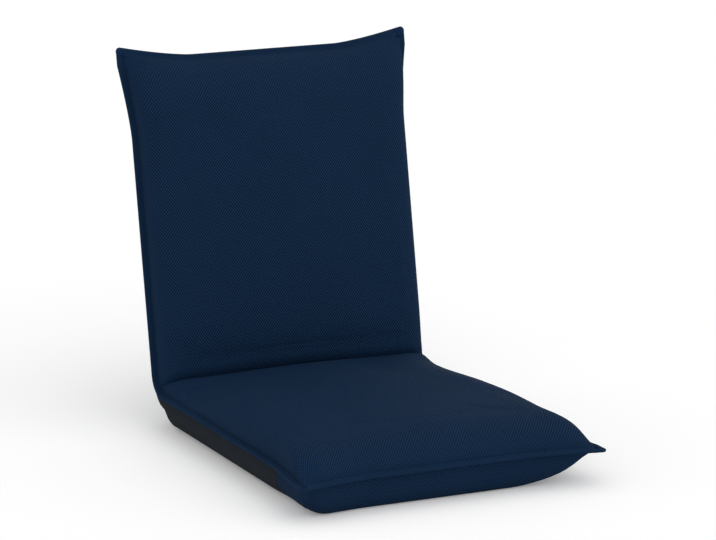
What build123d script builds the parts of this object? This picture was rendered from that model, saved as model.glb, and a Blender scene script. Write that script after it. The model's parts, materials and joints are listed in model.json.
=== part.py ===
"""Folding floor chair: two padded halves on a steel frame with ratchet hinges.

Millimetres and degrees. +X is across the seat, -Y is the front, +Z is up. The origin is on the
floor, at the middle of the flat base that the seat rests on.
"""

import os
from collections import namedtuple
from math import cos, pi, radians, sin, sqrt

from build123d import *

# ---------------------------------------------------------------- whole chair
ear_width = 426.0          # across the tips of the corner ears
seat_reach = 503.0         # hinge line to the tips of the front ears
back_reach = 463.0         # hinge line to the tips of the top ears
tooth_pitch = 7.2          # one click of the ratchet
clicks_down = 11           # clicks from flat to the pose that is drawn
open_angle = 180.0 - tooth_pitch * clicks_down
seam_height = 46.0         # hinge line and seat seam above the floor
hinge_y = 237.0            # hinge line behind the middle of the base
running_gap = 0.3          # between soft pieces of the seat and of the back

# ---------------------------------------------------------------- covers
side_draw = 11.5           # how far the sides are drawn in from the ear tips
end_draw = 14.0            # how far the front and top edges are drawn in
ear_run = 95.0             # length over which an edge curves out to its ear
ear_round = 3.0            # rounding of an ear's tip
ear_power = 1.4            # 1 flares out in a straight line, 2 in a deep curve
welt_show = 5.0            # how far the welt stands out of the seam
welt_grip = 4.0            # width of the welt held in the seam
welt_thick = 2.4
welt_start = 12.0          # hinge line to the first end of each welt
cover_thick = 3.0          # spaced mesh with its lining
nose_length = 95.0         # mesh band under the front of the seat
crease_angle = 38.0        # tuck between seat and back, above the seat
tuck_fade = 200.0          # length over which the sides recover from the crease
hinge_round = 29.0         # radius of the cover behind the hinge line

# ---------------------------------------------------------------- pads
seat_crown = 44.0          # seat above its seam, in the middle
seat_tuck = 32.0           # seat above its seam, at the crease
seat_tuck_run = 190.0      # length over which the seat rises from the crease
front_round = 70.0         # length over which the front edge falls to the seam
base_round = 24.0          # the same below the seam
back_crown = 50.0          # back in front of its seam, in the middle
back_tuck = 45.0           # back in front of its seam, at the crease
back_tuck_run = 60.0
top_round = 80.0           # length over which the top edge falls to the seam
rear_depth = 36.0          # back behind its seam
edge_depth = 7.0           # pad at the seam of its front or top edge
seat_corner = 38.0         # width of the rounded side of the seat's upper pad
seat_tuck_corner = 100.0   # the same at the crease
back_corner = 40.0
upper_swell = 3.5          # how far that side swells past its seam
base_corner = 40.0
base_swell = 1.0
floor_press = 0.5          # how far the floor presses the base flat
rear_corner = 26.0
rear_swell = 1.5
crown_share = 0.16         # part of a pad's depth that is crown
base_rise = 24.0           # length over which the base reaches the floor
rear_rise = 60.0           # length over which the back reaches its full depth
side_power = 0.8           # 1 gives a pad an elliptic side, less a fuller one
least_hollow = 1.5         # depth left inside a cover where it is thinnest
end_steps = 5              # facets of a rounded end
side_steps = 5             # facets of a rounded side
crown_steps = 4            # facets across a crowned face
rise_steps = 3             # facets of the rise from the crease
corner_steps = 4           # facets of the cloth behind the hinge line

# ---------------------------------------------------------------- steel frames
tube_radius = 8.0
tube_wall = 1.2
frame_in_side = 55.0       # each side tube inside the ear tips
frame_in_front = 63.0      # front tube inside the tips of the front ears
frame_in_top = 61.0        # top tube inside the tips of the top ears
frame_bend = 45.0
bend_steps = 5             # facets of a bend
cross_radius = 6.0
seat_cross_at = 142.0
back_cross_at = 118.0
flat_from = 46.0           # flattened end of the seat tube, from the hinge line
flat_length = 48.0
flat_blend = 30.0          # from the flattened end to the round tube
flat_press = 1.6           # 1 leaves the end oval, more gives it flatter sides
tube_flats = 16            # sides of the flattened end's section
sleeve_from = 52.0         # open end of the back tube, from the hinge line

# ---------------------------------------------------------------- webbing, felt and foam
strap_thick = 1.5
strap_width = 42.0
seat_straps_at = (190.0, 268.0, 346.0)
back_straps_at = (170.0, 245.0, 320.0)
felt_thick = 2.0
pocket_gap = 2.0           # between the frame's parts and the foam round them
pocket_behind = 60.0       # how far the foam's pocket runs behind the hinge line
slack = 0.2                # between webbing, felt and foam

# ---------------------------------------------------------------- ratchet hinges
case_gap = 5.4             # between the two case plates
case_plate = 2.0
case_lobe = 23.5
case_tail = 95.0           # hinge line to the end of the case plates
case_tail_height = 22.0
case_soften = 5.0
arm_thick = 3.6
arm_side_gap = 0.1
tooth_count = 14
tooth_tip = 19.0
tooth_root = 17.0
first_tooth = 101.0        # angle from the arm to the first tooth
neck_width = 12.0
tongue_end = 95.0          # hinge line to the end of the arm
cam_thick = 1.2
cam_side_gap = 0.2
cam_rim = 19.25
cam_notch_at = 310.0       # where the cam lets the pawl drop
cam_notch_width = 5.0
peg_radius = 1.5
peg_ring = 12.0
peg_at = 205.0             # angle from the arm to its peg
slot_spread = 186.0        # angle of the cam's slot
slot_width = 3.4
fold_angle = 28.8          # between seat and back when folded
pivot_radius = 4.0
pivot_head = 7.0
pivot_head_thick = 2.4
pawl_radius = 2.5
pawl_head = 4.5
pawl_head_thick = 1.6
rivet_radius = 2.5
rivet_head = 4.5
rivet_head_thick = 1.6
bearing_gap = 0.05         # radial, where a plate turns on its rivet
pawl_along = 23.6
pawl_below = 18.5
pawl_boss = 5.5
pawl_lobe = 9.5
pawl_thick = 5.0
pawl_nose_angle = -72.0
pawl_nose_width = 3.2
pawl_tail_ring = 25.2
pawl_tail_radius = 2.6
pawl_clear = 0.1           # pawl on the rim of the cam
spring_thick = 0.8
spring_width = 4.4
spring_pin_along = 42.0
spring_pin_below = 5.5
spring_pin_radius = 1.5
spring_pin_head = 2.6
spring_drop = 1.9          # between the pawl's boss and the leaf below it
spring_bulge = 2.9         # between the boss and the leaf's bend
seat_rivets_at = (58.0, 84.0)
back_rivets_at = (76.0,)

# ---------------------------------------------------------------- zip, low on the rear
zip_at = 62.0              # hinge line to the zip
zip_length = 296.0
zip_slit = 13.0
tape_width = 11.5
tape_thick = 0.8
chain_width = 5.0
chain_split = 1.2
chain_high = 2.8
chain_proud = 1.8
slider_length = 12.0
slider_width = 11.0
slider_plate = 1.6
slider_base = 1.0          # thickness of the slider's inner plate
slider_base_width = 10.0
slider_gap = 0.2
slider_neck = 3.0
slider_start = 6.0         # from the end of the zip
lug_thick = 1.3
lug_length = 4.0
lug_high = 2.6
lug_pin = 0.8
pull_length = 24.0
pull_width = 6.0
pull_thick = 1.2

# ---------------------------------------------------------------- values that follow
seam_half = welt_thick / 2
frame_half_width = ear_width / 2 - frame_in_side
seat_frame_reach = seat_reach - frame_in_front
back_frame_reach = back_reach - frame_in_top
half_width = ear_width / 2 - side_draw
pad_half_width = half_width - welt_show
seat_edge = seat_reach - end_draw - welt_show
back_edge = back_reach - end_draw - welt_show
base_depth = seam_height + floor_press
strap_radius = tube_radius + strap_thick
felt_from = strap_radius + slack
pocket_depth = felt_from + felt_thick + slack
pocket_half = frame_half_width + strap_radius + pocket_gap
hinge_room = case_lobe + pocket_gap
pawl_room = pawl_below + pawl_lobe + pocket_gap
plate_offset = (case_gap + case_plate) / 2
arm_offset = -case_gap / 2 + arm_side_gap + arm_thick / 2
cam_offset = arm_offset + arm_thick / 2 + cam_side_gap + cam_thick / 2
flat_thick = case_gap
flat_height = 2 * tube_radius + (1 - 2 / pi) * 2 * tube_radius

Half = namedtuple("Half", "along face right")
Shape = namedtuple("Shape", "corner tuck_corner swell crown")
hinge = Vector(0, hinge_y, seam_height)
across_chair = Vector(1, 0, 0)
tilt = radians(open_angle)
seat = Half(Vector(0, -1, 0), Vector(0, 0, 1), across_chair)
back = Half(Vector(0, -cos(tilt), sin(tilt)), Vector(0, -sin(tilt), -cos(tilt)), across_chair * -1)
seat_shape = Shape(seat_corner, seat_tuck_corner, upper_swell, crown_share)
back_shape = Shape(back_corner, back_corner, upper_swell, crown_share)
base_shape = Shape(base_corner, base_corner, base_swell, 0.0)
rear_shape = Shape(rear_corner, rear_corner, rear_swell, 0.0)

os.makedirs("parts", exist_ok=True)


def finish(piece, name):
    """Name a piece and write it."""
    piece.part.label = name
    export_step(piece.part, f"parts/{name}.step")


# ---------------------------------------------------------------- planes on a half
def slice_plane(half, s, up=1):
    """Square to a half at a distance from the hinge: x is across, y is out of the face."""
    return Plane(hinge + half.along * s, x_dir=half.right * up, z_dir=half.along)


def seam_plane(half, n=0.0):
    """Parallel to the seam: x runs from the hinge, y is across."""
    return Plane(hinge + half.face * n, x_dir=half.along, z_dir=half.face)


def side_plane(half, x):
    """Seen from the side, at x across the chair: x runs from the hinge, y is out of the face."""
    return Plane(hinge + across_chair * x, x_dir=half.along, z_dir=half.right * -1)


def crease_plane(toward):
    """The tuck between the two halves, half a gap off it on the seat (1) or back (-1) side."""
    lean = radians(crease_angle)
    normal = Vector(0, -sin(lean), -cos(lean)) * toward
    return Plane(hinge + normal * (running_gap / 2), z_dir=normal)


# ---------------------------------------------------------------- pads
def rounded_end(distance, length):
    """Share of full depth at a distance from an edge that is rounded over a length."""
    if distance >= length:
        return 1.0
    return sqrt(max(0.0, 1 - (1 - distance / length) ** 2))


def eased(share):
    """Smooth step from 0 to 1."""
    share = min(1.0, max(0.0, share))
    return share * share * (3 - 2 * share)


def ear_flare(s, edge):
    """How far a pad's side has curved out at a distance from the hinge."""
    share = max(0.0, (s - (edge - ear_run)) / ear_run)
    return side_draw / 2 * share ** ear_power


def pad_slice(plane, width, foot, depth, corner, swell, crown):
    """One slice of a pad: flat on the seam, a round side each way, then the face."""
    shoulder = foot + (depth - foot) * (1 - crown)
    face = width - corner
    side = []
    for step in range(side_steps + 1):
        turn = radians(90 * step / side_steps)
        x = face + corner * cos(turn) ** side_power + swell * sin(2 * turn)
        side.append((x, foot + (shoulder - foot) * sin(turn) ** side_power))
    middle = []
    if crown:
        for step in range(1, crown_steps):
            x = face * (1 - 2 * step / crown_steps)
            middle.append((x, shoulder + (depth - shoulder) * (1 - (x / face) ** 2)))
    far_side = [(-x, y) for x, y in reversed(side)]
    with BuildSketch(plane) as section:
        with BuildLine():
            Polyline(*side, *middle, *far_side, close=True)
        make_face()
    return section.sketch


def pad(half, edge, end_round, stations, depth_at, full_depth, shape, inset=0.0, up=1):
    """A pad lofted along a half; an inset gives the space inside its cover."""
    slices = []
    for s in stations:
        into_end = max(0.0, s - (edge - end_round)) / end_round
        plane = slice_plane(half, s - inset * into_end, up)
        width = pad_half_width + ear_flare(s, edge) - inset
        depth = max(depth_at(s) - inset, seam_half + least_hollow)
        corner = shape.tuck_corner + (shape.corner - shape.tuck_corner) * eased(s / tuck_fade)
        swell = shape.swell * depth / full_depth
        slices.append(pad_slice(plane, width, seam_half, depth, corner, swell, shape.crown))
    with BuildPart() as solid:
        loft(sections=slices, ruled=True)
    return solid.part


def rise_marks(start, run):
    """Distances from the hinge at which a pad changes its depth."""
    return [start + run * step / rise_steps for step in range(rise_steps + 1)]


def end_marks(edge, end_round):
    """The same over its rounded end."""
    turns = [radians(90 * step / end_steps) for step in range(end_steps + 1)]
    return [edge - end_round * (1 - sin(turn)) for turn in turns]


seat_tuck_at = seat_tuck / sin(radians(crease_angle)) * cos(radians(crease_angle))
back_lean = radians(open_angle - crease_angle)
back_tuck_at = back_tuck / sin(back_lean) * cos(back_lean)


def seat_upper_depth(s):
    """Depth of the seat above its seam."""
    full = seat_tuck + (seat_crown - seat_tuck) * eased((s - seat_tuck_at) / seat_tuck_run)
    return edge_depth + (full - edge_depth) * rounded_end(seat_edge - s, front_round)


def back_upper_depth(s):
    """Depth of the back in front of its seam."""
    full = back_tuck + (back_crown - back_tuck) * eased((s - back_tuck_at) / back_tuck_run)
    return edge_depth + (full - edge_depth) * rounded_end(back_edge - s, top_round)


def seat_base_depth(s):
    """Depth of the seat below its seam; it is level where it lies on the floor."""
    full = hinge_round + (base_depth - hinge_round) * eased(s / base_rise)
    return edge_depth + (full - edge_depth) * rounded_end(seat_edge - s, base_round)


def back_rear_depth(s):
    """Depth of the back behind its seam."""
    full = hinge_round + (rear_depth - hinge_round) * eased(s / rear_rise)
    return edge_depth + (full - edge_depth) * rounded_end(back_edge - s, top_round)


seat_end_marks = end_marks(seat_edge, front_round)
back_end_marks = end_marks(back_edge, top_round)
seat_upper_marks = rise_marks(seat_tuck_at, seat_tuck_run) + seat_end_marks
back_upper_marks = rise_marks(back_tuck_at, back_tuck_run) + back_end_marks
seat_base_marks = rise_marks(0.0, base_rise) + end_marks(seat_edge, base_round)


def seat_upper(inset=0.0):
    """Upper pad of the seat."""
    marks = [-hinge_round - inset] + seat_upper_marks
    return pad(seat, seat_edge, front_round, marks, seat_upper_depth, seat_crown, seat_shape, inset)


def back_upper(inset=0.0):
    """Front pad of the back."""
    marks = [-hinge_round - inset] + back_upper_marks
    return pad(back, back_edge, top_round, marks, back_upper_depth, back_crown, back_shape, inset)


def seat_base(inset=0.0):
    """Lower pad of the seat, hanging below the seam and pressed flat by the floor."""
    marks = seat_base_marks
    shape = base_shape
    with BuildPart() as pressed:
        add(pad(seat, seat_edge, base_round, marks, seat_base_depth, base_depth, shape, inset, -1))
        split(bisect_by=Plane((0, 0, inset)), keep=Keep.TOP)
    return pressed.part


def back_rear(inset=0.0):
    """Rear pad of the back, behind the seam."""
    marks = rise_marks(running_gap, rear_rise) + back_end_marks
    shape = rear_shape
    return pad(back, back_edge, top_round, marks, back_rear_depth, rear_depth, shape, inset, -1)


def frame_pocket(half, frame_reach):
    """Flat pocket in the foam for the frame, webbing and felt."""
    length = pocket_behind + frame_reach + tube_radius + pocket_gap
    with BuildPart() as pocket:
        with BuildSketch(seam_plane(half)):
            with Locations((length / 2 - pocket_behind, 0)):
                Rectangle(length, 2 * pocket_half)
        extrude(amount=pocket_depth, both=True)
        corners = pocket.edges().filter_by(Axis(hinge, half.face)).sort_by(Axis(hinge, half.along))
        fillet(corners[-2:], frame_bend)
    return pocket.part


def hinge_rooms(half, below=0.0):
    """Space in the foam round both hinges; below adds the room for the pawls."""
    with BuildPart() as rooms:
        for side in (-1, 1):
            with BuildSketch(side_plane(half, side * frame_half_width)):
                Circle(hinge_room)
                if below:
                    with Locations((spring_pin_along / 2, -pawl_room / 2)):
                        Rectangle(below + hinge_room / 2, pawl_room)
            extrude(amount=pocket_half - frame_half_width, both=True)
    return rooms.part


# ---------------------------------------------------------------- seat: foam and covers
with BuildPart() as seat_foam_top:
    add(seat_upper(cover_thick))
    add(frame_pocket(seat, seat_frame_reach), mode=Mode.SUBTRACT)
    add(hinge_rooms(seat), mode=Mode.SUBTRACT)
    split(bisect_by=crease_plane(1), keep=Keep.TOP)
finish(seat_foam_top, "seat_foam_top")

with BuildPart() as seat_foam_base:
    add(seat_base(cover_thick))
    add(frame_pocket(seat, seat_frame_reach), mode=Mode.SUBTRACT)
    add(hinge_rooms(seat, flat_from), mode=Mode.SUBTRACT)
finish(seat_foam_base, "seat_foam_base")

with BuildPart() as seat_cover_top:
    add(seat_upper())
    add(seat_upper(cover_thick), mode=Mode.SUBTRACT)
    split(bisect_by=crease_plane(1), keep=Keep.TOP)
finish(seat_cover_top, "seat_cover_top")

nose_plane = Plane(hinge + seat.along * (seat_edge - nose_length), z_dir=seat.along)
with BuildPart() as base_shell:
    add(seat_base())
    add(seat_base(cover_thick), mode=Mode.SUBTRACT)

with BuildPart() as seat_base_cloth:
    add(base_shell.part)
    split(bisect_by=nose_plane, keep=Keep.BOTTOM)
finish(seat_base_cloth, "seat_base_cloth")

with BuildPart() as seat_cover_nose:
    add(base_shell.part)
    split(bisect_by=nose_plane, keep=Keep.TOP)
finish(seat_cover_nose, "seat_cover_nose")

# ---------------------------------------------------------------- back: foam and covers
with BuildPart() as back_foam_front:
    add(back_upper(cover_thick))
    add(frame_pocket(back, back_frame_reach), mode=Mode.SUBTRACT)
    add(hinge_rooms(back), mode=Mode.SUBTRACT)
    split(bisect_by=crease_plane(-1), keep=Keep.TOP)
finish(back_foam_front, "back_foam_front")

with BuildPart() as back_foam_rear:
    add(back_rear(cover_thick))
    add(frame_pocket(back, back_frame_reach), mode=Mode.SUBTRACT)
    add(hinge_rooms(back), mode=Mode.SUBTRACT)
finish(back_foam_rear, "back_foam_rear")

with BuildPart() as back_cover_front:
    add(back_upper())
    add(back_upper(cover_thick), mode=Mode.SUBTRACT)
    split(bisect_by=crease_plane(-1), keep=Keep.TOP)
finish(back_cover_front, "back_cover_front")

with BuildPart() as back_cover_rear:
    add(back_rear())
    add(back_rear(cover_thick), mode=Mode.SUBTRACT)
    with BuildSketch(seam_plane(back, -rear_depth)):
        with Locations((zip_at, 0)):
            Rectangle(zip_slit, zip_length)
    extrude(amount=2 * cover_thick, both=True, mode=Mode.SUBTRACT)
finish(back_cover_rear, "back_cover_rear")


# ---------------------------------------------------------------- cloth round the hinge
def hinge_corner(inset):
    """The seat's lower pad carried round the hinge line up to the back, in even facets."""
    depth = hinge_round - inset
    slices = []
    for step in range(corner_steps + 1):
        turn = radians((180.0 - open_angle) * step / corner_steps)
        square = Vector(0, -cos(turn), -sin(turn))
        plane = Plane(hinge, x_dir=across_chair * -1, z_dir=square)
        width = pad_half_width - inset
        swell = base_swell * depth / base_depth
        slices.append(pad_slice(plane, width, seam_half, depth, base_corner, swell, 0.0))
    with BuildPart() as corner:
        loft(sections=slices, ruled=True)
    return corner.part


with BuildPart() as hinge_gusset:
    add(hinge_corner(0))
    add(hinge_corner(cover_thick), mode=Mode.SUBTRACT)
finish(hinge_gusset, "hinge_gusset")


# ---------------------------------------------------------------- welts
def welt_outline(reach):
    """Outer line of the welt of one half, with its two ears."""
    side = half_width
    tip = (reach, ear_width / 2)
    end = reach - end_draw
    span = ear_width / 2 - ear_run
    half_flare = 0.5 ** ear_power
    side_middle = (reach - ear_run / 2, side + side_draw * half_flare)
    end_middle = (end + end_draw * half_flare, tip[1] - ear_run / 2)
    with BuildLine() as outline:
        Line((welt_start, 0), (welt_start, side))
        Line((welt_start, side), (reach - ear_run, side))
        ThreePointArc((reach - ear_run, side), side_middle, tip)
        ThreePointArc(tip, end_middle, (end, span))
        Line((end, span), (end, 0))
        mirror(about=Plane.XZ)
    return outline.line


def welt(half, reach):
    """Flat sewn edge between the two covers of one half."""
    with BuildPart() as strip:
        with BuildSketch(seam_plane(half)) as outline:
            add(welt_outline(reach))
            make_face()
            tips = outline.vertices().sort_by(Axis.X)[-2:]
            fillet(tips, ear_round)
        extrude(amount=seam_half, both=True)
        with BuildSketch(seam_plane(half)):
            inner = half_width - welt_show - welt_grip
            inner_end = reach - end_draw - welt_show - welt_grip
            with Locations(((welt_start + inner_end) / 2 - welt_start, 0)):
                Rectangle(inner_end + welt_start, 2 * inner)
        extrude(amount=welt_thick, both=True, mode=Mode.SUBTRACT)
    return strip


finish(welt(seat, seat_reach), "seat_welt")
finish(welt(back, back_reach), "back_welt")


# ---------------------------------------------------------------- bent tube frames
def tube_slice(plane, across, height, press=1.0):
    """Section of a tube in even flats; a press over 1 flattens its two sides."""
    points = []
    for step in range(tube_flats):
        turn = radians(360 * step / tube_flats)
        x = min(1.0, max(-1.0, press * cos(turn)))
        points.append((x * across / 2, sin(turn) * height / 2))
    with BuildSketch(plane) as section:
        with BuildLine():
            Polyline(*points, close=True)
        make_face()
    return section.sketch


def tube_marks(start, reach):
    """Place and heading of each section along a U-shaped bar with two bends."""
    side = frame_half_width - frame_bend
    bend_at = reach - frame_bend
    marks = [(start, -frame_half_width, 0.0)]
    for middle, first in ((-side, 0.0), (side, 90.0)):
        for step in range(bend_steps + 1):
            heading = radians(first + 90 * step / bend_steps)
            x = bend_at + frame_bend * sin(heading)
            marks.append((x, middle - frame_bend * cos(heading), heading))
    marks.append((start, frame_half_width, radians(180)))
    return marks


def bent_tube(half, start, reach, radius):
    """Solid round bar along a U: two legs, two bends and the end run."""
    seam = seam_plane(half)
    slices = []
    for x, y, heading in tube_marks(start, reach):
        middle = seam.origin + seam.x_dir * x + seam.y_dir * y
        ahead = seam.x_dir * cos(heading) + seam.y_dir * sin(heading)
        with BuildSketch(Plane(middle, x_dir=half.face, z_dir=ahead)) as section:
            Circle(radius)
        slices.append(section.sketch)
    with BuildPart() as bar:
        loft(sections=slices, ruled=True)
    return bar.part


def flat_ends(inset):
    """Both flattened ends of the seat tube and the tapers that lead to them."""
    with BuildPart() as ends:
        for side in (-1, 1):
            shift = across_chair * (side * frame_half_width)
            planes = [slice_plane(seat, s) for s in (flat_from, flat_from + flat_length)]
            near, far = [Plane(p.origin + shift, p.x_dir, p.z_dir) for p in planes]
            blend = Plane(far.origin + seat.along * flat_blend, far.x_dir, far.z_dir)
            thick = flat_thick - 2 * inset
            height = flat_height - 2 * inset
            round_size = 2 * (tube_radius - inset)
            slices = [tube_slice(p, thick, height, flat_press) for p in (near, far)]
            loft(sections=slices + [tube_slice(blend, round_size, round_size)], ruled=True)
    return ends.part


def cross_holes(half, places, radius):
    """Holes across the chair, through both side tubes or both hinges."""
    with BuildPart() as holes:
        with BuildSketch(side_plane(half, 0)):
            with Locations(*[(s, 0) for s in places]):
                Circle(radius)
        extrude(amount=ear_width / 2, both=True)
    return holes.part


round_from = flat_from + flat_length + flat_blend
with BuildPart() as seat_frame:
    add(bent_tube(seat, round_from, seat_frame_reach, tube_radius))
    add(flat_ends(0))
    add(bent_tube(seat, round_from, seat_frame_reach, tube_radius - tube_wall), mode=Mode.SUBTRACT)
    add(flat_ends(tube_wall), mode=Mode.SUBTRACT)
    add(cross_holes(seat, seat_rivets_at, rivet_radius), mode=Mode.SUBTRACT)
finish(seat_frame, "seat_frame")

with BuildPart() as back_frame:
    add(bent_tube(back, sleeve_from, back_frame_reach, tube_radius))
    add(bent_tube(back, sleeve_from, back_frame_reach, tube_radius - tube_wall), mode=Mode.SUBTRACT)
    add(cross_holes(back, back_rivets_at, rivet_radius), mode=Mode.SUBTRACT)
finish(back_frame, "back_frame")


def side_bars(half, start, end):
    """Solid bars where the side tubes run, for cutting what is fitted round them."""
    with BuildPart() as bars:
        with BuildSketch(slice_plane(half, start)):
            with Locations((-frame_half_width, 0), (frame_half_width, 0)):
                Circle(tube_radius)
        extrude(amount=end - start)
    return bars.part


def cross_tube(half, place):
    """Straight tube between the side tubes, its ends cut to fit round them."""
    with BuildPart() as tube:
        with BuildSketch(side_plane(half, 0)):
            with Locations((place, 0)):
                Circle(cross_radius)
                Circle(cross_radius - tube_wall, mode=Mode.SUBTRACT)
        extrude(amount=frame_half_width, both=True)
        room = 2 * cross_radius
        add(side_bars(half, place - room, place + room), mode=Mode.SUBTRACT)
    return tube


finish(cross_tube(seat, seat_cross_at), "seat_cross_tube")
finish(cross_tube(back, back_cross_at), "back_cross_tube")


# ---------------------------------------------------------------- webbing and felt
def strap(half, place):
    """Band of webbing sewn in a loop round both side tubes."""
    with BuildPart() as band:
        with BuildSketch(slice_plane(half, place - strap_width / 2)):
            SlotCenterToCenter(2 * frame_half_width, 2 * strap_radius)
            SlotCenterToCenter(2 * frame_half_width, 2 * tube_radius, mode=Mode.SUBTRACT)
        extrude(amount=strap_width)
    return band


for number, place in enumerate(seat_straps_at, 1):
    finish(strap(seat, place), f"seat_strap_{number}")
for number, place in enumerate(back_straps_at, 1):
    finish(strap(back, place), f"back_strap_{number}")


def felt(half, reach):
    """Felt sheet between the webbing and the foam."""
    start = case_tail + pocket_gap
    end = reach + tube_radius
    with BuildPart() as sheet:
        with BuildSketch(seam_plane(half, felt_from)):
            with Locations(((start + end) / 2, 0)):
                RectangleRounded(end - start, 2 * (pocket_half - pocket_gap), frame_bend)
        extrude(amount=felt_thick)
    return sheet


finish(felt(seat, seat_frame_reach), "seat_felt")
finish(felt(back, back_frame_reach), "back_felt")


# ---------------------------------------------------------------- ratchet hinges
def polar(ring, angle):
    """Point at an angle on a ring round the hinge line."""
    return (ring * cos(radians(angle)), ring * sin(radians(angle)))


def arm_polar(ring, angle):
    """The same on the arm, whose own y runs the other way."""
    return (ring * cos(radians(angle)), -ring * sin(radians(angle)))


pawl_spot = (pawl_along, -pawl_below)
spring_spot = (spring_pin_along, -spring_pin_below)


def case_outline():
    """Outline of a case plate: lobe, tail to the seat tube and lobe for the pawl."""
    Circle(case_lobe)
    with Locations((case_tail / 2, 0)):
        RectangleRounded(case_tail, case_tail_height, case_soften)
    with BuildSketch(mode=Mode.PRIVATE) as lower:
        Circle(tooth_tip)
        with Locations(pawl_spot):
            Circle(pawl_lobe)
        with Locations(spring_spot):
            Circle(case_soften)
        make_hull()
    add(lower.sketch)


def case_plate_part(x):
    """One plate of the case, with the holes for its rivets."""
    with BuildPart() as plate:
        with BuildSketch(side_plane(seat, x)):
            case_outline()
            Circle(pivot_radius, mode=Mode.SUBTRACT)
            with Locations(pawl_spot):
                Circle(pawl_radius, mode=Mode.SUBTRACT)
            with Locations(spring_spot):
                Circle(spring_pin_radius, mode=Mode.SUBTRACT)
            with Locations(*[(s, 0) for s in seat_rivets_at]):
                Circle(rivet_radius, mode=Mode.SUBTRACT)
        extrude(amount=case_plate / 2, both=True)
    return plate


def toothed_sector():
    """Saw teeth: each rises slowly and drops steeply on the side that holds the back."""
    points = [(0, 0), arm_polar(tooth_root, first_tooth)]
    for tooth in range(1, tooth_count + 1):
        angle = first_tooth + tooth * tooth_pitch
        points.append(arm_polar(tooth_tip, angle))
        points.append(arm_polar(tooth_root, angle))
    Polygon(*points, align=None)


def ratchet_arm(side):
    """Toothed disc with a neck and a tongue that fits in the back tube."""
    x = side * (frame_half_width + arm_offset)
    peg_length = case_gap / 2 - arm_offset - cam_side_gap
    with BuildPart() as arm:
        with BuildSketch(side_plane(back, x)):
            Circle(tooth_root)
            toothed_sector()
            with Locations((tongue_end / 2, 0)):
                Rectangle(tongue_end, neck_width)
            Circle(pivot_radius + bearing_gap, mode=Mode.SUBTRACT)
            with Locations(*[(s, 0) for s in back_rivets_at]):
                Circle(rivet_radius, mode=Mode.SUBTRACT)
        extrude(amount=arm_thick / 2, both=True)
        with BuildSketch(side_plane(back, x)):
            with Locations(arm_polar(peg_ring, peg_at)):
                Circle(peg_radius)
        extrude(amount=peg_length * side * back.right.X * -1)
    return arm


def release_cam(side):
    """Disc that carries the pawl over the teeth; the arm's peg turns it at its slot's ends."""
    x = side * (frame_half_width + cam_offset)
    middle = peg_at + (180 + fold_angle) / 2
    with BuildPart() as cam:
        with BuildSketch(side_plane(seat, x)):
            Circle(cam_rim)
            Circle(pivot_radius + bearing_gap, mode=Mode.SUBTRACT)
            with BuildLine(mode=Mode.PRIVATE) as slot_line:
                CenterArc((0, 0), peg_ring, middle - slot_spread / 2, slot_spread)
            SlotArc(slot_line.line.edge(), slot_width, mode=Mode.SUBTRACT)
            with Locations(polar(cam_rim, cam_notch_at)):
                Circle(cam_notch_width / 2, mode=Mode.SUBTRACT)
        extrude(amount=cam_thick / 2, both=True)
    return cam


def pawl(side):
    """Lever below the teeth, its nose on the rim of the cam."""
    nose_low = pawl_nose_angle - pawl_nose_width
    nose_high = pawl_nose_angle + pawl_nose_width
    ring = tooth_root
    with BuildPart() as lever:
        with BuildSketch(side_plane(seat, side * frame_half_width)):
            Polygon(
                polar(ring, nose_low), polar(pawl_tail_ring, nose_low),
                polar(pawl_tail_ring, nose_high), polar(ring, nose_high), align=None,
            )
            with BuildSketch(mode=Mode.PRIVATE) as body:
                with Locations(pawl_spot):
                    Circle(pawl_boss)
                with Locations(polar(pawl_tail_ring, pawl_nose_angle)):
                    Circle(pawl_tail_radius)
                make_hull()
            add(body.sketch)
            with Locations(pawl_spot):
                Circle(pawl_radius + bearing_gap, mode=Mode.SUBTRACT)
            Circle(cam_rim + pawl_clear, mode=Mode.SUBTRACT)
        extrude(amount=pawl_thick / 2, both=True)
    return lever


def headed_pins(half, spots, radius, head, head_thick, reach):
    """Rivets through both hinges, each with a head at both ends, reach off its middle."""
    with BuildPart() as pins:
        for side in (-1, 1):
            with BuildSketch(side_plane(half, side * frame_half_width)):
                with Locations(*spots):
                    Circle(radius)
            extrude(amount=reach, both=True)
            for end in (-1, 1):
                with BuildSketch(side_plane(half, side * frame_half_width + end * reach)):
                    with Locations(*spots):
                        Circle(head)
                extrude(amount=-end * half.right.X * head_thick)
    return pins


def pawl_spring(side):
    """Leaf that runs from its pin round below the pawl."""
    start = (spring_pin_along - spring_pin_radius - spring_thick / 2 - pawl_clear, -spring_pin_below)
    under = pawl_below + pawl_boss + spring_drop
    bend = (pawl_along + pawl_boss + spring_bulge, -pawl_below - spring_thick)
    low = (pawl_along - spring_thick, -under)
    tip = polar(pawl_tail_ring + pawl_tail_radius + spring_thick, pawl_nose_angle + pawl_nose_width)
    with BuildPart() as leaf:
        with BuildSketch(side_plane(seat, side * frame_half_width)):
            with BuildLine(mode=Mode.PRIVATE) as path:
                ThreePointArc(start, bend, low)
                Line(low, tip)
            trace(path.line, line_width=spring_thick)
        extrude(amount=spring_width / 2, both=True)
    return leaf


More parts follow.
